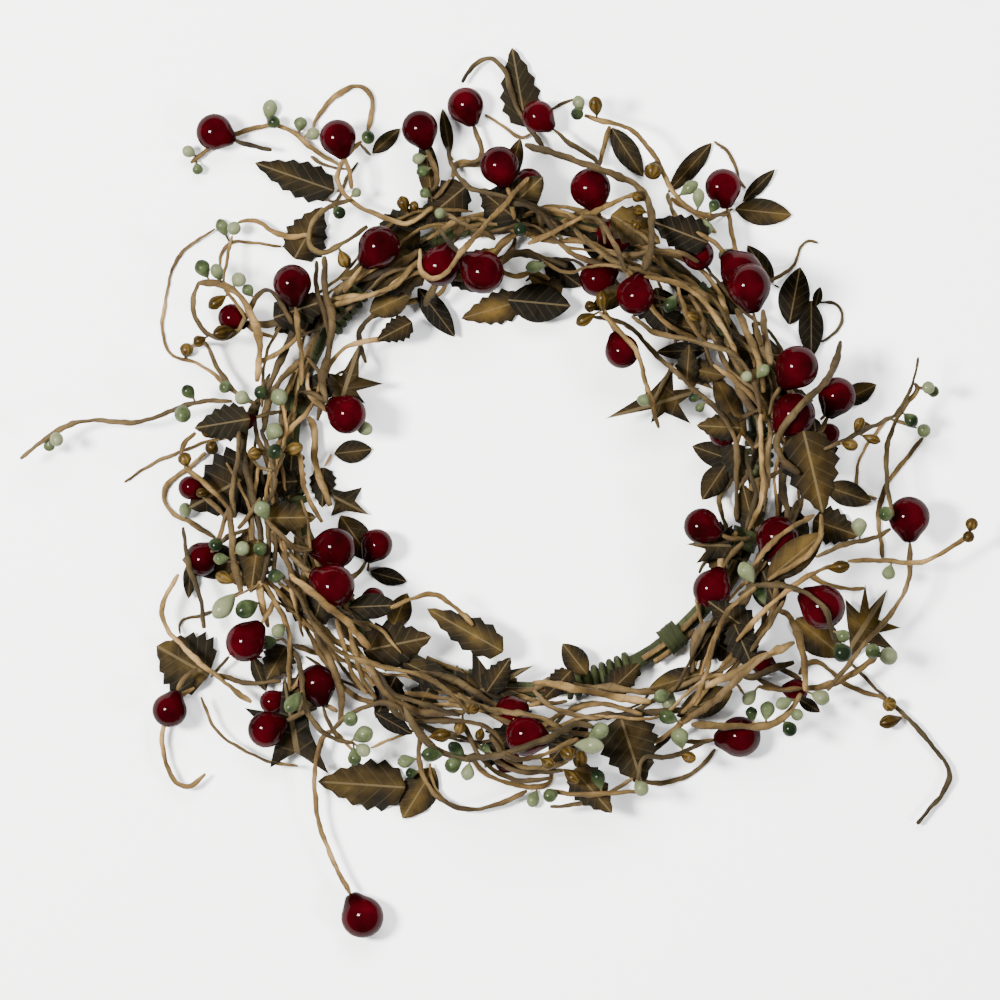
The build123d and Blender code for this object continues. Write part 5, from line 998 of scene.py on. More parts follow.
def settle_route(flat, layer, diameter, hip=None):
    """Heights for a route's points, so that it and the hip at its start clear the heap."""
    points = np.column_stack((flat, np.full(len(flat), level(layer))))
    placed = heap.near(points, diameter + HEAP_REACH)
    for _ in range(SETTLE_ROUNDS):
        spheres, owners = route_samples(list(points), diameter / 2)
        short = Heap.floor_for(spheres, placed, SETTLE_GAP) - spheres[:, 2]
        lift = np.zeros(len(points))
        np.maximum.at(lift, owners, short)
        if hip is not None:
            body = hip_spheres(points[0], points[1], hip)
            short = (Heap.floor_for(body, placed, SETTLE_GAP) - body[:, 2]).max()
            lift[0] = lift[1] = max(lift[0], lift[1], short)
        if lift.max() < SETTLED_LIFT:
            break
        points[:, 2] += np.maximum(lift, 0)
        gaps = np.linalg.norm(np.diff(points[:, :2], axis=0), axis=1) * STEEPEST_SHARE
        for index in range(1, len(points)):
            points[index, 2] = max(points[index, 2], points[index - 1, 2] - gaps[index - 1])
        for index in range(len(points) - 2, -1, -1):
            points[index, 2] = max(points[index, 2], points[index + 1, 2] - gaps[index])
    spheres, owners = route_samples(list(points), diameter / 2)
    body = spheres
    if hip is not None:
        body = np.vstack((spheres, hip_spheres(points[0], points[1], hip)))
    drop = (body[:, 2] - Heap.floor_for(body, placed, SETTLE_GAP)).min()
    if drop > 0:
        points[:, 2] -= drop
        body[:, 2] -= drop
    return list(points), body


LEAF_THICKNESS = 0.35
LEAF_CURL_SHARE = 0.85
LEAF_STEPS = 12
LEAF_BULGE_SHARES = {"toothed": 0.62, "lance": 0.9}
LEAF_FULLNESS_SHARE = 0.8
LEAF_TOOTH_SHARE = 1.14
LEAF_NOTCH_SHARE = 0.9
LEAF_FOOT_SHARE = 0.04
LEAF_SAMPLE_STEP = 0.5
STAR_DIP_SHARE = 0.45
STAR_CURL_SHARE = 2.6


def leaf_outline(kind, length, width):
    """Outline points of a leaf, from base to tip and back."""
    side = []
    for index in range(1, LEAF_STEPS):
        share = index / LEAF_STEPS
        half = width / 2 * math.sin(math.pi * share ** LEAF_BULGE_SHARES[kind]) ** LEAF_FULLNESS_SHARE
        if kind == "toothed":
            half *= LEAF_TOOTH_SHARE if index % 2 else LEAF_NOTCH_SHARE
        side.append((share * length, half))
    foot = width * LEAF_FOOT_SHARE
    back = [(along, -half) for along, half in reversed(side)]
    return [(0, foot)] + side + [(length, 0)] + back + [(0, -foot)]


def inside(outline, spots):
    """Even-odd test of an array of spots against a closed outline."""
    odd = np.zeros(len(spots), dtype=bool)
    for (ax, ay), (bx, by) in zip(outline, outline[1:] + outline[:1]):
        spans = (ay > spots[:, 1]) != (by > spots[:, 1])
        with np.errstate(divide="ignore", invalid="ignore"):
            cut = (bx - ax) * (spots[:, 1] - ay) / (by - ay) + ax
        odd ^= spans & (spots[:, 0] < cut)
    return odd


def leaf_arch(across, curl):
    """Height of a curled leaf's middle layer at a distance from its midrib."""
    return np.sqrt(curl ** 2 - across ** 2) - curl


def settle_leaf(outline, origin, ahead, width):
    """Height at which a curled leaf rests, with the spheres that stand for it there."""
    curl = width * LEAF_CURL_SHARE
    low = np.min(outline, axis=0)
    high = np.max(outline, axis=0)
    along, across = np.meshgrid(
        np.arange(low[0], high[0], LEAF_SAMPLE_STEP), np.arange(low[1], high[1], LEAF_SAMPLE_STEP)
    )
    spots = np.column_stack((along.ravel(), across.ravel()))
    spots = np.vstack((spots[inside(outline, spots)], np.array(outline)))
    aside = np.array((-ahead[1], ahead[0]))
    flat = origin + spots[:, :1] * ahead + spots[:, 1:] * aside
    arch = leaf_arch(spots[:, 1], curl)
    spheres = np.column_stack((flat, arch, np.full(len(flat), LEAF_THICKNESS / 2)))
    placed = heap.near(spheres, HEAP_REACH)
    height = (Heap.floor_for(spheres, placed, SETTLE_GAP) - spheres[:, 2]).max()
    spheres[:, 2] += height
    return height, spheres


def star_outline(spokes, ahead):
    """Outline of a star leaf in its own frame, with a dip between each two tips."""
    aside = np.array((-ahead[1], ahead[0]))
    outline = []
    for spoke, after in zip(spokes, spokes[1:] + spokes[:1]):
        shorter = min(np.linalg.norm(spoke), np.linalg.norm(after))
        dip = unit(unit(spoke) + unit(after)) * shorter * STAR_DIP_SHARE
        if float(spoke[0] * after[1] - spoke[1] * after[0]) < 0:
            dip = -dip
        outline += [(float(spoke @ ahead), float(spoke @ aside)), (float(dip @ ahead), float(dip @ aside))]
    return outline


# The deep tangle between the sprays is more of the same thin twigs and small leaves.
# Strands and leaves in an even scatter round the ring stand for it.
STRANDS = 64
STRAND_KINDS = ("twig", "tendril", "twig", "stem", "tendril")
STRAND_LAYERS = 4
STRAND_POINTS = 7
STRAND_SPAN = 34
STRAND_WAVE = 2.8
SCRUB_LEAVES = 66
SCRUB_LEAF_SPREAD_SHARE = 1.35
SCRUB_LEAF_LENGTH = 12.0
SCRUB_LEAF_WIDTH = 7.5
SCRUB_HALF_WIDTH = 11.0
SCRUB_DRIFT = 2.4
SCRUB_LEAN = 7.3
SCATTER_SHARES = (0.618034, 0.754878, 0.569840)
BARE_FROM = 292
BARE_TO = 314
BARE_OFFSET = 9.0


def scatter(number, axis):
    """Share between 0 and 1 that spreads evenly as the number counts up."""
    return number * SCATTER_SHARES[axis] % 1


def scrub_offset(angle, share):
    """How far outside the hoop's circle a filler point lies, clear of the bare stretch of hoop."""
    offset = SCRUB_DRIFT - SCRUB_LEAN * math.sin(math.radians(angle)) + SCRUB_HALF_WIDTH * (2 * share - 1)
    if BARE_FROM < angle % 360 < BARE_TO:
        offset = max(offset, BARE_OFFSET)
    return offset


def strand_route(number):
    """Wavy route of a filler strand along the ring."""
    start = 360 * scatter(number, 0)
    span = STRAND_SPAN * (1 + scatter(number, 1)) * (1 if number % 2 else -1)
    drift = scatter(number, 2) - scatter(number, 1)
    flat = []
    for step in range(STRAND_POINTS):
        share = step / (STRAND_POINTS - 1)
        angle = start + span * share
        offset = scrub_offset(angle, (scatter(number, 1) + drift * share) % 1)
        wave = STRAND_WAVE * math.sin(step * 2 + number)
        flat.append(around(angle, offset + wave, 0)[:2])
    return np.array(flat)


def scrub_leaf(number):
    """Foot, direction, length and width of a filler leaf."""
    angle = 360 * scatter(number, 1)
    if BARE_FROM < angle < BARE_TO:
        angle += BARE_TO - BARE_FROM
    share = 0.5 + (scatter(number, 2) - 0.5) * SCRUB_LEAF_SPREAD_SHARE
    foot = around(angle, scrub_offset(angle, share), 0)[:2]
    turn = math.radians(angle + 360 * scatter(number, 0))
    size = 1 + (scatter(number, 2) - 0.5) / 2
    return foot, np.array((math.cos(turn), math.sin(turn))), SCRUB_LEAF_LENGTH * size, SCRUB_LEAF_WIDTH * size


# The maker lays the sprays on the hoop, lowest layer first, twisted on by their wires.
# Each piece comes to rest on what is already there.
GRAFT_GAP = 0.25
jobs = []
for number in range(STRANDS):
    kind = STRAND_KINDS[number % len(STRAND_KINDS)]
    layer = 1 + number % STRAND_LAYERS
    jobs.append((layer, 2, "twig", (strand_route(number), layer, TWIG_DIAMETERS[kind], None)))
for number in range(SCRUB_LEAVES):
    foot, ahead, length, width = scrub_leaf(number)
    outline = leaf_outline("toothed" if number % 3 else "lance", length, width)
    jobs.append((number % (STRAND_LAYERS + 2), 1, "leaf", (outline, foot, ahead, width)))
for kind, layer, route in TWIGS_PX:
    flat = np.array([place(pixel) for pixel in route])
    jobs.append((layer, 2, "twig", (flat, layer, TWIG_DIAMETERS[kind], None)))
for middle, width, layer, route in HIPS_PX:
    hip = width * PX
    flat = np.array([place(pixel) for pixel in route])
    flat[0] = place(middle) + unit(flat[0] - place(middle)) * HIP_NECK_SHARE * hip
    jobs.append((layer, 0, "hip", (flat, layer, TWIG_DIAMETER, hip)))
for kind, layer, base, tip, width in LEAVES_PX:
    span = place(tip) - place(base)
    outline = leaf_outline(kind, float(np.linalg.norm(span)), width * PX)
    jobs.append((layer, 1, "leaf", (outline, place(base), unit(span), width * PX)))
for layer, middle, tips in STARS_PX:
    spokes = [place(tip) - place(middle) for tip in tips]
    spokes.sort(key=lambda spoke: math.atan2(spoke[1], spoke[0]))
    ahead = unit(max(spokes, key=np.linalg.norm))
    outline = star_outline(spokes, ahead)
    width = STAR_CURL_SHARE * max(abs(across) for _, across in outline)
    jobs.append((layer, 1, "leaf", (outline, place(middle), ahead, width)))
jobs.sort(key=lambda job: job[:2])
routes = []
blades = []
piece_count = HOOP
for layer, _, what, row in jobs:
    piece_count += 1
    if what == "leaf":
        outline, origin, ahead, width = row
        height, spheres = settle_leaf(outline, origin, ahead, width)
        heap.add(spheres, piece_count)
        foot = np.array((*(origin - ahead * (GRAFT_GAP + TENDRIL_DIAMETER / 2)), height))
        spray = spray_of(*spheres[:, :2].mean(axis=0))
        blades.append((foot, spray, piece_count, outline, origin, ahead, width))
    else:
        route, layer, diameter, hip = row
        points, spheres = settle_route(route, layer, diameter, hip)
        add_route(points, spheres, diameter / 2, hip, piece_count)
        routes.append([points, diameter, hip, spray_of(*route.mean(axis=0)), piece_count])

# Pips stand on the twigs by their pointed ends.
# Each takes the free seat nearest to its photographed place.
PIP_GAP = 0.06
PIP_TIP_SHARE = 0.26
PIP_HEART_SHARE = 0.6
PIP_SPHERE_SHARES = (0, 0.3, 0.6, 0.85)
PIP_REACH_SHARES = (1.5, 2.5, 4)
PIP_RISES = (0, 20, 40, 60, -20, -40)
PIP_RISE_COST_SHARE = 0.004
PIP_DEPTH_COST_SHARE = 0.03
PIP_SLANT_SHARE = 0.6
PIP_TRIALS = 400
twig_spheres = np.zeros((0, 7))
for points, diameter, _, _, _ in routes:
    spheres, _ = route_samples(points, diameter / 2)
    ahead = np.gradient(spheres[:, :3], axis=0)
    ahead /= np.linalg.norm(ahead, axis=1)[:, None]
    twig_spheres = np.vstack((twig_spheres, np.column_stack((spheres, ahead))))


def pip_spheres(tip, axis, length, width):
    """Spheres of a pip from its tip outward."""
    radius = width / 2
    tip_half = PIP_TIP_SHARE * radius
    heart = length - radius
    rows = [(*(tip + axis * heart), radius)]
    for share in PIP_SPHERE_SHARES:
        at = tip_half + (heart - tip_half) * share
        rows.append((*(tip + axis * at), tip_half + (radius - tip_half) * share))
    return np.array(rows)


def seat_pip(flat, length, width, reach):
    """Best free seat on a twig near the pip's place, or None."""
    away = np.linalg.norm(twig_spheres[:, :2] - flat, axis=1)
    close = twig_spheres[away < reach + TWIG_DIAMETER]
    trials = []
    for x, y, z, radius, tx, ty, tz in close:
        lean = flat - np.array((x, y))
        if np.linalg.norm(lean) < TAPE_CLEARANCE:
            continue
        lean = unit(lean)
        for rise in PIP_RISES:
            axis = np.array((*(lean * math.cos(math.radians(rise))), math.sin(math.radians(rise))))
            slant = abs(float(axis @ np.array((tx, ty, tz))))
            if slant > PIP_SLANT_SHARE:
                continue
            seat = (radius + PIP_TIP_SHARE * width / 2 * slant + PIP_GAP * 1.5) / math.sqrt(1 - slant ** 2)
            tip = np.array((x, y, z)) + axis * seat
            heart = tip + axis * length * PIP_HEART_SHARE
            miss = np.linalg.norm(heart[:2] - flat)
            cost = miss + abs(rise) * PIP_RISE_COST_SHARE - PIP_DEPTH_COST_SHARE * heart[2]
            trials.append((cost, tuple(tip), tuple(axis)))
    trials.sort()
    placed = heap.near(np.array([(*flat, 0, 0)]), reach + length + HEAP_REACH)
    for _, tip, axis in trials[:PIP_TRIALS]:
        spheres = pip_spheres(np.array(tip), np.array(axis), length, width)
        if (spheres[:, 2] - spheres[:, 3]).min() < TAPE_CLEARANCE:
            continue
        if Heap.clearance(spheres, placed) > PIP_GAP:
            return np.array(tip), np.array(axis), spheres
    return None


pips = {}
for colour, rows in (("sage", SAGE_PIPS_PX), ("gold", GOLD_PIPS_PX)):
    for middle, length, width in rows:
        length, width = length * PX, width * PX
        found = None
        for share in PIP_REACH_SHARES:
            found = found or seat_pip(place(middle), length, width, length * share)
        if found is None:
            continue
        tip, axis, spheres = found
        piece_count += 1
        heap.add(spheres, piece_count)
        pips.setdefault(f"{spray_of(*place(middle))}_{colour}_pips", []).append((tip, axis, length, width))

# All pieces of the real ring hang together. What doesn't touch the hoop's heap yet gets a
# twig end lengthened to its neighbour, or a short stalk of twisted paper.
JOINED_GAP = 0.35
LONGEST_GRAFT = 16.0
GRAFT_GOALS = 40
GRAFT_ENDS = 14
GRAFT_STEP = 0.3
LEAST_CLEARANCE = 0.03
RIM_SPOTS = 8
FOLD_SHARE = 0.2
BLOCK = 400


def touching(piece):
    """Other pieces that lie within reach of one piece."""
    own = heap.spheres[(heap.owners == piece) & heap.whole]
    low = own[:, :3].min(axis=0) - own[:, 3].max() - JOINED_GAP
    high = own[:, :3].max(axis=0) + own[:, 3].max() + JOINED_GAP
    reach = heap.spheres[:, 3:]
    close = np.all((heap.spheres[:, :3] > low - reach) & (heap.spheres[:, :3] < high + reach), axis=1)
    close &= (heap.owners != piece) & heap.whole
    found = set()
    others = heap.spheres[close]
    owners = heap.owners[close]
    for start in range(0, len(others), BLOCK):
        block = others[start:start + BLOCK]
        between = np.linalg.norm(own[:, None, :3] - block[None, :, :3], axis=2)
        gaps = (between - own[:, None, 3] - block[None, :, 3]).min(axis=0)
        found.update(owners[start:start + BLOCK][gaps < JOINED_GAP].tolist())
    return found


def rod_spheres(start, end, radius):
    """Spheres of a straight rod's inside, and spots on its rims."""
    ahead = unit(end - start)
    length = np.linalg.norm(end - start)
    stations = start + np.linspace(0, length, max(2, math.ceil(length / GRAFT_STEP)) + 1)[:, None] * ahead
    aside = unit(np.cross(ahead, np.roll(ahead, 1) + ahead[::-1]))
    over = np.cross(ahead, aside)
    turn = np.arange(RIM_SPOTS) * 2 * math.pi / RIM_SPOTS
    rim = radius * (np.cos(turn)[:, None] * aside + np.sin(turn)[:, None] * over)
    spots = (stations[:, None] + rim[None]).reshape(-1, 3)
    radius = min(radius, length / 2)
    inner = start + np.linspace(radius, length - radius, len(stations))[:, None] * ahead
    return np.column_stack((inner, np.full(len(inner), radius))), np.column_stack((spots, np.zeros(len(spots))))


def graft(point, outward, owner, diameter, goals, apart):
    """Shortest straight run from an end to a goal that clears the heap; apart, it stands off from the end."""
    away = np.linalg.norm(goals[:, :3] - point, axis=1) - goals[:, 3]
    order = np.argsort(away)[:GRAFT_GOALS]
    near = np.linalg.norm(heap.spheres[:, :3] - point, axis=1) < away[order[-1]] + HEAP_REACH
    if outward is not None:
        near &= heap.owners != owner
    obstacles = heap.spheres[near]
    for goal in goals[order]:
        ahead = unit(goal[:3] - point)
        length = np.linalg.norm(goal[:3] - point) - goal[3] - GRAFT_GAP
        start = 0
        if outward is not None:
            along = float(ahead @ outward)
            if along < -FOLD_SHARE:
                continue
            if apart:
                start = GRAFT_GAP + apart * math.sqrt(1 - min(1, along) ** 2)
        if length > LONGEST_GRAFT:
            return None
        if length < start + diameter:
            continue
        first, end = point + ahead * start, point + ahead * length
        if end[2] - diameter / 2 < TAPE_CLEARANCE:
            continue
        body, rims = rod_spheres(first, end, diameter / 2)
        room = min(Heap.clearance(body, obstacles), Heap.clearance(rims, obstacles))
        if room > LEAST_CLEARANCE:
            return first, end, body
    return None


def lengthen(number, side, end):
    """Gives a route a new end, where it still clears all pieces and touches the same ones."""
    points, diameter, hip, _, owner = routes[number]
    longer = [end] + points if side == 0 else points + [end]
    spheres, _ = route_samples(bent_enough(longer), diameter / 2)
    tested = spheres[np.linalg.norm(spheres[:, :3] - end, axis=1) > diameter / 2]
    if hip is not None:
        spheres = np.vstack((spheres, hip_spheres(longer[0], longer[1], hip)))
    mine = heap.owners == owner
    before = heap.spheres[mine], heap.whole[mine]
    heap.drop(owner)
    clear = Heap.clearance(tested, heap.near(tested, HEAP_REACH)) > LEAST_CLEARANCE
    add_route(longer, spheres, diameter / 2, hip, owner)
    if clear and neighbours[owner] <= touching(owner):
        routes[number][0] = longer
        return True
    heap.drop(owner)
    heap.add(before[0], owner, before[1])
    return False


neighbours = {piece: set() for piece in range(piece_count + 1)}


def note_neighbours(piece):
    """Notes which others a piece touches, both ways."""
    for other in touching(piece):
        neighbours[piece].add(other)
        neighbours[other].add(piece)


def group_from(piece):
    """All pieces that hang together with one piece."""
    group = {piece}
    edge = [piece]
    while edge:
        for other in neighbours[edge.pop()]:
            if other not in group:
                group.add(other)
                edge.append(other)
    return group


def ends_near(group, main, low, high):
    """Free ends of twigs in a group or in the main heap, and feet of the group's leaves."""
    found = []
    for number, (points, diameter, hip, spray, owner) in enumerate(routes):
        if owner not in group and owner not in main:
            continue
        for side, before in ((-1, -2), (0, 1)):
            if (hip is None or side == -1) and np.all((points[side] > low) & (points[side] < high)):
                found.append((points[side], unit(points[side] - points[before]), diameter, owner, number, side))
    for number, (foot, spray, owner, *_) in enumerate(blades):
        if owner in group:
            found.append((foot, None, TENDRIL_DIAMETER, owner, number, None))
    return found


def join_group(group, main):
    """Joins a loose group to the main heap by its nearest free end."""
    mine = heap.spheres[np.isin(heap.owners, list(group)) & heap.whole]
    low = mine[:, :3].min(axis=0) - LONGEST_GRAFT
    high = mine[:, :3].max(axis=0) + LONGEST_GRAFT
    box = np.all((heap.spheres[:, :3] > low) & (heap.spheres[:, :3] < high), axis=1)
    theirs = heap.spheres[box & np.isin(heap.owners, list(main)) & heap.whole]
    ranked = []
    for place_in_list, row in enumerate(ends_near(group, main, low, high)):
        goals = theirs if row[3] in group else mine
        if len(goals):
            away = (np.linalg.norm(goals[:, :3] - row[0], axis=1) - goals[:, 3]).min()
            if away < LONGEST_GRAFT:
                ranked.append((away, place_in_list, row, goals))
    ranked.sort(key=lambda entry: entry[:2])
    ranked = ranked[:GRAFT_ENDS]
    for _, _, (point, outward, diameter, owner, number, side), goals in ranked:
        found = graft(point, outward, owner, diameter, goals, 0)
        if found is None:
            continue
        first, end, body = found
        if side is None:
            stalks.append(([first, end], TENDRIL_DIAMETER, None, blades[number][1], owner))
            heap.add(body, owner)
            note_neighbours(owner)
            return
        if lengthen(number, side, end):
            note_neighbours(owner)
            return
    for _, _, (point, outward, diameter, owner, number, side), goals in ranked:
        if side is None:
            continue
        found = graft(point, outward, owner, TENDRIL_DIAMETER, goals, diameter / 2)
        if found:
            first, end, body = found
            stalks.append(([first, end], TENDRIL_DIAMETER, None, routes[number][3], owner))
            heap.add(body, owner)
            note_neighbours(owner)
            return


stalks = []
for piece in range(1, piece_count + 1):
    note_neighbours(piece)
main = group_from(HOOP)
given_up = set()
loose = set(range(1, piece_count + 1)) - main
while loose:
    group = group_from(min(loose))
    join_group(group, main)
    main = group_from(HOOP)
    if not group & main:
        given_up |= group
    loose = set(range(1, piece_count + 1)) - main - given_up

# Twigs are soft wire in a twisted strip of tan paper, thicker where strips end and thinner
# at the tips. A smooth curve runs along each laid route, with small kinks of its own.
paper_twig, tree, shader = fresh_material("paper_twig", 0.8, 0.2)
mark = mark_of(tree)
strip = wound_strip(tree, mark, 3.4, 1.0)
pale = shades(tree, strip.outputs["Blotch"], (
    (0.28, (0.023, 0.013, 0.004)), (0.5, (0.080, 0.049, 0.016)), (0.72, (0.215, 0.135, 0.054))))
warm = shades(tree, strip.outputs["Blotch"], (
    (0.28, (0.012, 0.007, 0.003)), (0.5, (0.041, 0.026, 0.009)), (0.72, (0.100, 0.066, 0.028))))
tone = blend(tree, "MIX", sums(tree, "GREATER_THAN", mark, 0.55), pale, warm)
tone = blend(tree, "MULTIPLY", 1.0, tone, shades(tree, own_share(tree, mark, 7.3), (
    (0.0, (0.38, 0.40, 0.36)), (0.35, (0.75, 0.74, 0.70)), (0.7, (1.0, 1.0, 1.0)), (1.0, (1.15, 1.1, 1.05)))))
# Darkens the colour along each turn's seam: painted shade in the groove of the wound paper.
colour_skin(tree, shader, blend(tree, "MULTIPLY", 0.6, tone, shades(tree, strip.outputs["Seam"], (
    (0.0, (0.34, 0.26, 0.18)), (0.8, (1.0, 1.0, 1.0))))))
raise_skin(tree, shader, strip.outputs["Height"], 0.00022)


TWIG_STEP = 0.7
TWIG_SIDES = 11
EASING_ROUNDS = 5
KINK_LENGTHS = (13, 5.7, 2.6)
KINK_HEIGHTS = (0.10, 0.07, 0.035)
TWIG_LUMPS = ((17, 7.3, 3.3), (0.09, 0.07, 0.04))
KNOT_SPACING = 14
KNOT_REACH = 0.8
KNOT_SWELL = 0.17
TIP_REACH = 1.2
TIP_DRAW_IN = 0.45
STRIP_SHARE = 0.91
FLATNESS = 0.10
FLAT_TWIST = 0.45
LEAST_HEIGHT = 0.02


def soft_line(points):
    """The laid route at even steps, with its bends eased by a running mean of three points."""
    laid = route_samples(points, 1.0)[0][:, :3]
    run = run_along(laid)
    even = np.linspace(0, run[-1], max(4, int(run[-1] / TWIG_STEP)))
    line = spots_at(even, run, laid)
    for _ in range(EASING_ROUNDS):
        line[1:-1] = (line[:-2] + 2 * line[1:-1] + line[2:]) / 4
    return line, even


twig_skins = {}
twig_lines = []
turn = np.linspace(0, 2 * np.pi, TWIG_SIDES, endpoint=False)
for number, (points, diameter, hip, spray, owner) in enumerate(routes + stalks):
    line, run = soft_line(bent_enough(points))
    kinks = np.column_stack([waves(run, 7 * number + axis, KINK_LENGTHS, KINK_HEIGHTS) for axis in range(3)])
    kinks[:, 2] *= 0.6
    ease = np.minimum(1, np.minimum(run, run[-1] - run) / 3)[:, None]
    line = line + kinks * ease
    twig_lines.append(line)
    knots = np.random.default_rng(number).uniform(0, run[-1], max(1, int(run[-1] / KNOT_SPACING)))
    swell = np.exp(-((run[:, None] - knots[None, :]) / KNOT_REACH) ** 2).sum(axis=1) * KNOT_SWELL
    tips = 1 - TIP_DRAW_IN * np.exp(-run / TIP_REACH) - TIP_DRAW_IN * np.exp(-(run[-1] - run) / TIP_REACH)
    lumps = waves(run, number + 500, *TWIG_LUMPS)
    radii = diameter / 2 * (STRIP_SHARE + swell + lumps) * tips
    flat = 1 + FLATNESS * np.cos(2 * turn[None, :] + run[:, None] * FLAT_TWIST + number)
    grid, wrap = tube_skin(line, radii[:, None] * flat, TWIG_SIDES)
    grid[:, :, 2] = np.maximum(grid[:, :, 2], LEAST_HEIGHT)
    twig_skins.setdefault(spray, []).append((grid, wrap, mark_for(number)))

# A pip has a hair of a stem, from the nearest twig into its pointed end.
PIP_STEM_REACH = 6.0
PIP_STEM_RADIUS = 0.27
PIP_STEM_SIDES = 6
PIP_STEM_DEPTH_SHARE = 0.3
twig_lines = np.vstack(twig_lines)
for name, rows in pips.items():
    for index, (tip, axis, length, width) in enumerate(rows):
        root = twig_lines[np.argmin(np.linalg.norm(twig_lines - tip, axis=1))]
        if np.linalg.norm(root - tip) > PIP_STEM_REACH:
            continue
        share = np.linspace(0, 1, 7)[:, None]
        bend, end = tip - 0.6 * axis, tip + PIP_STEM_DEPTH_SHARE * length * axis
        line = (1 - share) ** 2 * root + 2 * share * (1 - share) * bend + share ** 2 * end
        grid, wrap = tube_skin(line, np.full(len(line), PIP_STEM_RADIUS), PIP_STEM_SIDES)
        twig_skins.setdefault(name.rsplit("_", 2)[0], []).append((grid, wrap, mark_for(index)))
dress_sprays(twig_skins, "paper_twigs", paper_twig, "twigs")
dress("root_paper", root_skins, paper_twig, "root_stems")
dress("tape_bands", tie_skins, green_tape, "tape_ties")

# Hips are turned balls of lacquered crimson, drawn out to a neck where the stem goes in.
# The lacquer is glossy, darker towards the neck and slightly uneven.
red_hip, tree, shader = fresh_material("red_hip", 0.35, 0.0)
lacquer(shader, 0.15, 0.05)
cloud = clouded(tree, 160.0, 3.0)
neck_share = join(tree, "ShaderNodeSeparateXYZ", {"Vector": wrap_map(tree)}).outputs["X"]
body = shades(tree, cloud, (
    (0.3, (0.008, 0.0001, 0.0004)), (0.55, (0.021, 0.0003, 0.0012)), (0.8, (0.040, 0.0006, 0.0024))))
age = shades(tree, mark_of(tree), ((0.0, (0.62, 0.6, 0.6)), (0.5, (1.0, 1.0, 1.0)), (1.0, (0.8, 0.7, 0.75))))
body = blend(tree, "MULTIPLY", 1.0, body, age)
neck = shades(tree, neck_share, (
    (0.0, (0.25, 0.2, 0.15)), (0.06, (1.0, 1.0, 1.0)), (0.74, (1.0, 1.0, 1.0)), (0.95, (0.35, 0.3, 0.3))))
colour_skin(tree, shader, blend(tree, "MULTIPLY", 1.0, body, neck))
raise_skin(tree, shader, cloud, 0.00025, 0.5)


def turned(tip, axis, radii, reaches, lobes):
    """Grid of a turned form: radius at each reach along an axis, times lobes round it."""
    axis = unit(np.asarray(axis, dtype=float))
    aside = unit(np.cross(axis, (0.31, 0.17, 0.93)))
    over = np.cross(axis, aside)
    columns = lobes.shape[1]
    turn = np.linspace(0, 2 * np.pi, columns, endpoint=False)
    ring = np.cos(turn)[:, None] * aside + np.sin(turn)[:, None] * over
    grid = tip + reaches[:, None, None] * axis + (radii[:, None] * lobes)[:, :, None] * ring[None]
    shares = np.linspace(0, 1, len(radii)), np.linspace(0, 1, columns + 1)
    return grid, np.stack(np.meshgrid(*shares, indexing="ij"), axis=-1)


HIP_SIDES = 28
HIP_ROWS = 30
HIP_SHOULDER = 0.72
HIP_DRAW_IN = 0.10
HIP_NECK_WIDTH = 0.17
hip_skins = {}
turn = np.linspace(0, 2 * np.pi, HIP_SIDES, endpoint=False)
angle = np.linspace(0.03, np.pi, HIP_ROWS)
rise = np.clip((angle / np.pi - HIP_SHOULDER) / (1 - HIP_SHOULDER), 0, 1)
rise = rise * rise * (3 - 2 * rise)
for number, (points, diameter, hip, spray, owner) in enumerate(routes):
    if hip is None:
        continue
    axis = unit(points[1] - points[0])
    centre = points[0] - axis * HIP_NECK_SHARE * hip
    radii = hip / 2 * (np.sin(angle) * (1 - HIP_DRAW_IN * rise) + HIP_NECK_WIDTH * rise)
    reaches = hip / 2 * (-np.cos(angle) + (2 * HIP_NECK_SHARE - 1) * rise ** 2)
    phases = np.random.default_rng(number).uniform(0, 6, 3)
    dents = 0.022 * np.cos(2 * turn + phases[0]) + 0.016 * np.cos(3 * turn + phases[1])
    lobes = 1 + np.sin(angle)[:, None] * dents[None, :]
    grid, wrap = turned(centre, axis, radii, reaches, lobes)
    hip_skins.setdefault(spray, []).append((grid, wrap, mark_for(number)))
dress_sprays(hip_skins, "lacquered_hips", red_hip, "hips")

# Pips are small drops of dipped paste: sage ones with a dark green blush at one end, and
# gold ones with ribs along them.
sage_pip, tree, shader = fresh_material("sage_pip", 0.5, 0.0)
lacquer(shader, 0.2, 0.2)
cloud = clouded(tree, 260.0, 3.0)
split = join(tree, "ShaderNodeSeparateXYZ", {"Vector": wrap_map(tree)})
blush = sums(tree, "MULTIPLY", split.outputs["X"], sums(tree, "SUBTRACT", mark_of(tree), 0.35))
blush = sums(tree, "ADD", blush, sums(tree, "MULTIPLY", cloud, 0.75))
colour_skin(tree, shader, shades(tree, blush, (
    (0.15, (0.098, 0.106, 0.058)), (0.40, (0.062, 0.074, 0.035)), (0.62, (0.019, 0.027, 0.010)),
    (0.80, (0.004, 0.007, 0.003)))))
raise_skin(tree, shader, cloud, 0.00015, 0.6)

gold_pip, tree, shader = fresh_material("gold_pip", 0.5, 0.0)
lacquer(shader, 0.15, 0.25)
cloud = clouded(tree, 220.0, 3.0)
split = join(tree, "ShaderNodeSeparateXYZ", {"Vector": wrap_map(tree)})
rib = sums(tree, "SINE", sums(tree, "MULTIPLY", split.outputs["Y"], 44.0))
# The ribs also lighten the colour on their raised crests and darken it between them: painted highlight and
# shade.
tone = sums(tree, "ADD", cloud, sums(tree, "MULTIPLY", rib, 0.09))
colour_skin(tree, shader, shades(tree, tone, (
    (0.25, (0.007, 0.004, 0.001)), (0.5, (0.026, 0.015, 0.003)), (0.75, (0.074, 0.046, 0.012)))))
raise_skin(tree, shader, rib, 0.0001, 0.6)

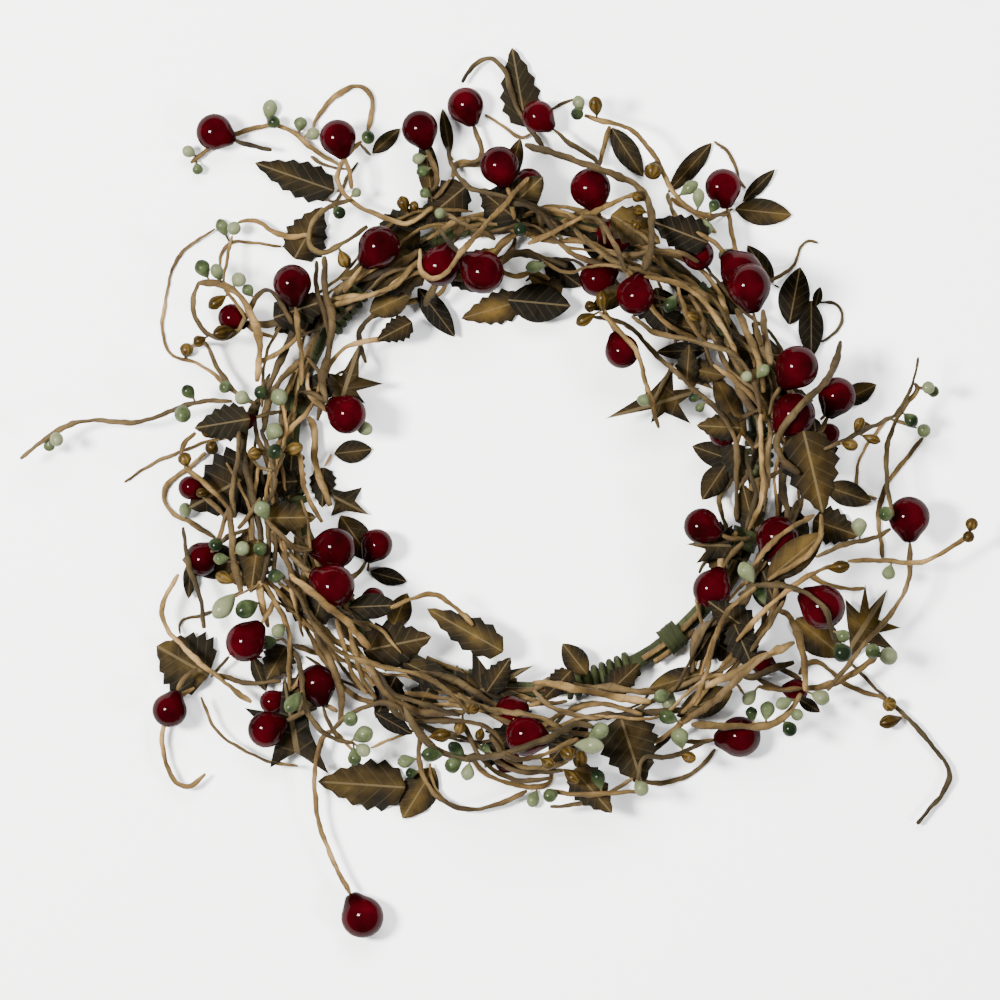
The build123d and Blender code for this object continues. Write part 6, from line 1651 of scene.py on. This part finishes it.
PIP_SIDES = 18
PIP_ROWS = 18
PIP_LEAN = 1.4
PIP_FULLNESS = 0.62
GOLD_RIBS = 7
GOLD_RIB_SHARE = 0.035
SAGE_OVAL_SHARE = 0.02
turn = np.linspace(0, 2 * np.pi, PIP_SIDES, endpoint=False)
share = (1 - np.cos(np.linspace(0.12, np.pi - 0.02, PIP_ROWS))) / 2
for number, (name, rows) in enumerate(pips.items()):
    skins = []
    gold = "gold" in name
    for index, (tip, axis, length, width) in enumerate(rows):
        radii = width / 2 * np.sin(np.pi * share ** PIP_LEAN) ** PIP_FULLNESS
        ribs = GOLD_RIB_SHARE * np.cos(GOLD_RIBS * turn) if gold else SAGE_OVAL_SHARE * np.cos(2 * turn + index)
        lobes = 1 + np.sin(np.pi * share)[:, None] * ribs[None, :]
        grid, wrap = turned(tip, axis, radii, length * share, lobes)
        skins.append((grid, wrap, mark_for(index + 3 * number)))
    paint, slot = (gold_pip, "gold_pip") if gold else (sage_pip, "sage_pip")
    dress(name.replace("pips", "drops"), skins, paint, name)

# Leaves are pressed cloth, dyed olive brown with a golden middle, veined, and curled along
# the midrib. Toothed ones are broad, lance ones narrow, and stars have five or six points.
dried_leaf, tree, shader = fresh_material("dried_leaf", 0.85, 0.12)
mark = mark_of(tree)
split = join(tree, "ShaderNodeSeparateXYZ", {"Vector": wrap_map(tree)})
cloud = clouded(tree, 130.0, 5.0)
weave = clouded(tree, 1500.0, 2.0)
off_rib = sums(tree, "ABSOLUTE", split.outputs["Y"])
rim = sums(tree, "ADD", sums(tree, "MULTIPLY", off_rib, 0.36), sums(tree, "MULTIPLY", cloud, 1.16))
rim = sums(tree, "ADD", rim, sums(tree, "MULTIPLY", mark, 0.35))
tone = shades(tree, rim, (
    (0.42, (0.072, 0.044, 0.011)), (0.60, (0.034, 0.022, 0.006)), (0.82, (0.014, 0.009, 0.003)),
    (1.0, (0.005, 0.004, 0.002))))
tone = blend(tree, "MULTIPLY", 1.0, tone, shades(tree, own_share(tree, mark, 5.7), (
    (0.0, (0.36, 0.33, 0.24)), (0.4, (0.62, 0.58, 0.46)), (0.75, (1.0, 1.0, 0.9)), (1.0, (1.5, 1.35, 1.0)))))
slant = sums(tree, "MULTIPLY", off_rib, 1.6)
side_vein = sums(tree, "SUBTRACT", sums(tree, "MULTIPLY", split.outputs["X"], 6.0), slant)
side_vein = sums(tree, "FRACT", side_vein)
side_vein = sums(tree, "LESS_THAN", sums(tree, "ABSOLUTE", sums(tree, "SUBTRACT", side_vein, 0.5)), 0.045)
midrib = sums(tree, "LESS_THAN", off_rib, 0.045)
vein = sums(tree, "MAXIMUM", sums(tree, "MULTIPLY", side_vein, 0.35), midrib)
colour_skin(tree, shader, blend(tree, "MIX", sums(tree, "MULTIPLY", vein, 0.55), tone, (0.075, 0.056, 0.028)))
relief = sums(tree, "ADD", cloud, sums(tree, "MULTIPLY", weave, 0.25))
relief = sums(tree, "ADD", sums(tree, "MULTIPLY", vein, 0.8), relief)
raise_skin(tree, shader, relief, 0.0004)


def fine_outline(outline, count):
    """The leaf's outline with evenly spread points between its own."""
    outline = np.array(outline + outline[:1])
    run = run_along(outline)
    extra = np.linspace(0, run[-1], count, endpoint=False)
    return spots_at(np.unique(np.concatenate((extra, run[:-1])).round(6)), run, outline)


LEAF_EDGE_SPOTS = 70
LEAF_RINGS = np.array((0.03, 0.2, 0.38, 0.56, 0.74, 0.88, 1.0))
LEAF_RUFFLE = 0.045
LEAF_RIM_SHARE = 0.3
LEAF_LEAST_HEIGHT = 0.03
leaf_skins = {}
for number, (foot, spray, owner, outline, origin, ahead, width) in enumerate(blades):
    edge = fine_outline(outline, LEAF_EDGE_SPOTS)
    low, high = edge.min(axis=0), edge.max(axis=0)
    heart = np.array(((low[0] + high[0]) / 2, 0)) if low[0] > -0.01 else np.array((0.0, 0.0))
    turn = np.arctan2(edge[:, 1] - heart[1], edge[:, 0] - heart[0])
    phase = np.random.default_rng(number).uniform(0, 6, 3)
    waver = np.sin(4 * turn + phase[0]) + 0.7 * np.sin(9 * turn + phase[1])
    curl = width * LEAF_CURL_SHARE
    aside = np.array((-ahead[1], ahead[0]))
    sides, side_spots = [], []
    for side, shares in ((1, LEAF_RINGS), (-1, LEAF_RINGS[::-1])):
        spots = heart + shares[:, None, None] * (edge - heart)[None]
        drop = leaf_arch(np.clip(spots[:, :, 1], -0.99 * curl, 0.99 * curl), curl)
        ruffle = LEAF_RUFFLE * width * shares[:, None] ** 2 * waver
        thick = LEAF_THICKNESS / 2 * np.where(shares == 1, LEAF_RIM_SHARE, 1)[:, None]
        height = foot[2] + drop + ruffle + side * thick
        flat = origin + spots[:, :, :1] * ahead + spots[:, :, 1:] * aside
        sides.append(np.concatenate((flat, height[:, :, None]), axis=2))
        side_spots.append(spots)
    grid = np.concatenate(sides)[::-1]
    grid[:, :, 2] = np.maximum(grid[:, :, 2], LEAF_LEAST_HEIGHT)
    spots = np.concatenate(side_spots)[::-1]
    wrap = np.stack(((spots[:, :, 0] - low[0]) / (high[0] - low[0]), spots[:, :, 1] / (width / 2)), axis=-1)
    wrap = np.concatenate((wrap, wrap[:, :1]), axis=1)
    leaf_skins.setdefault(spray, []).append((grid, wrap, mark_for(number)))
dress_sprays(leaf_skins, "dyed_leaves", dried_leaf, "leaves")
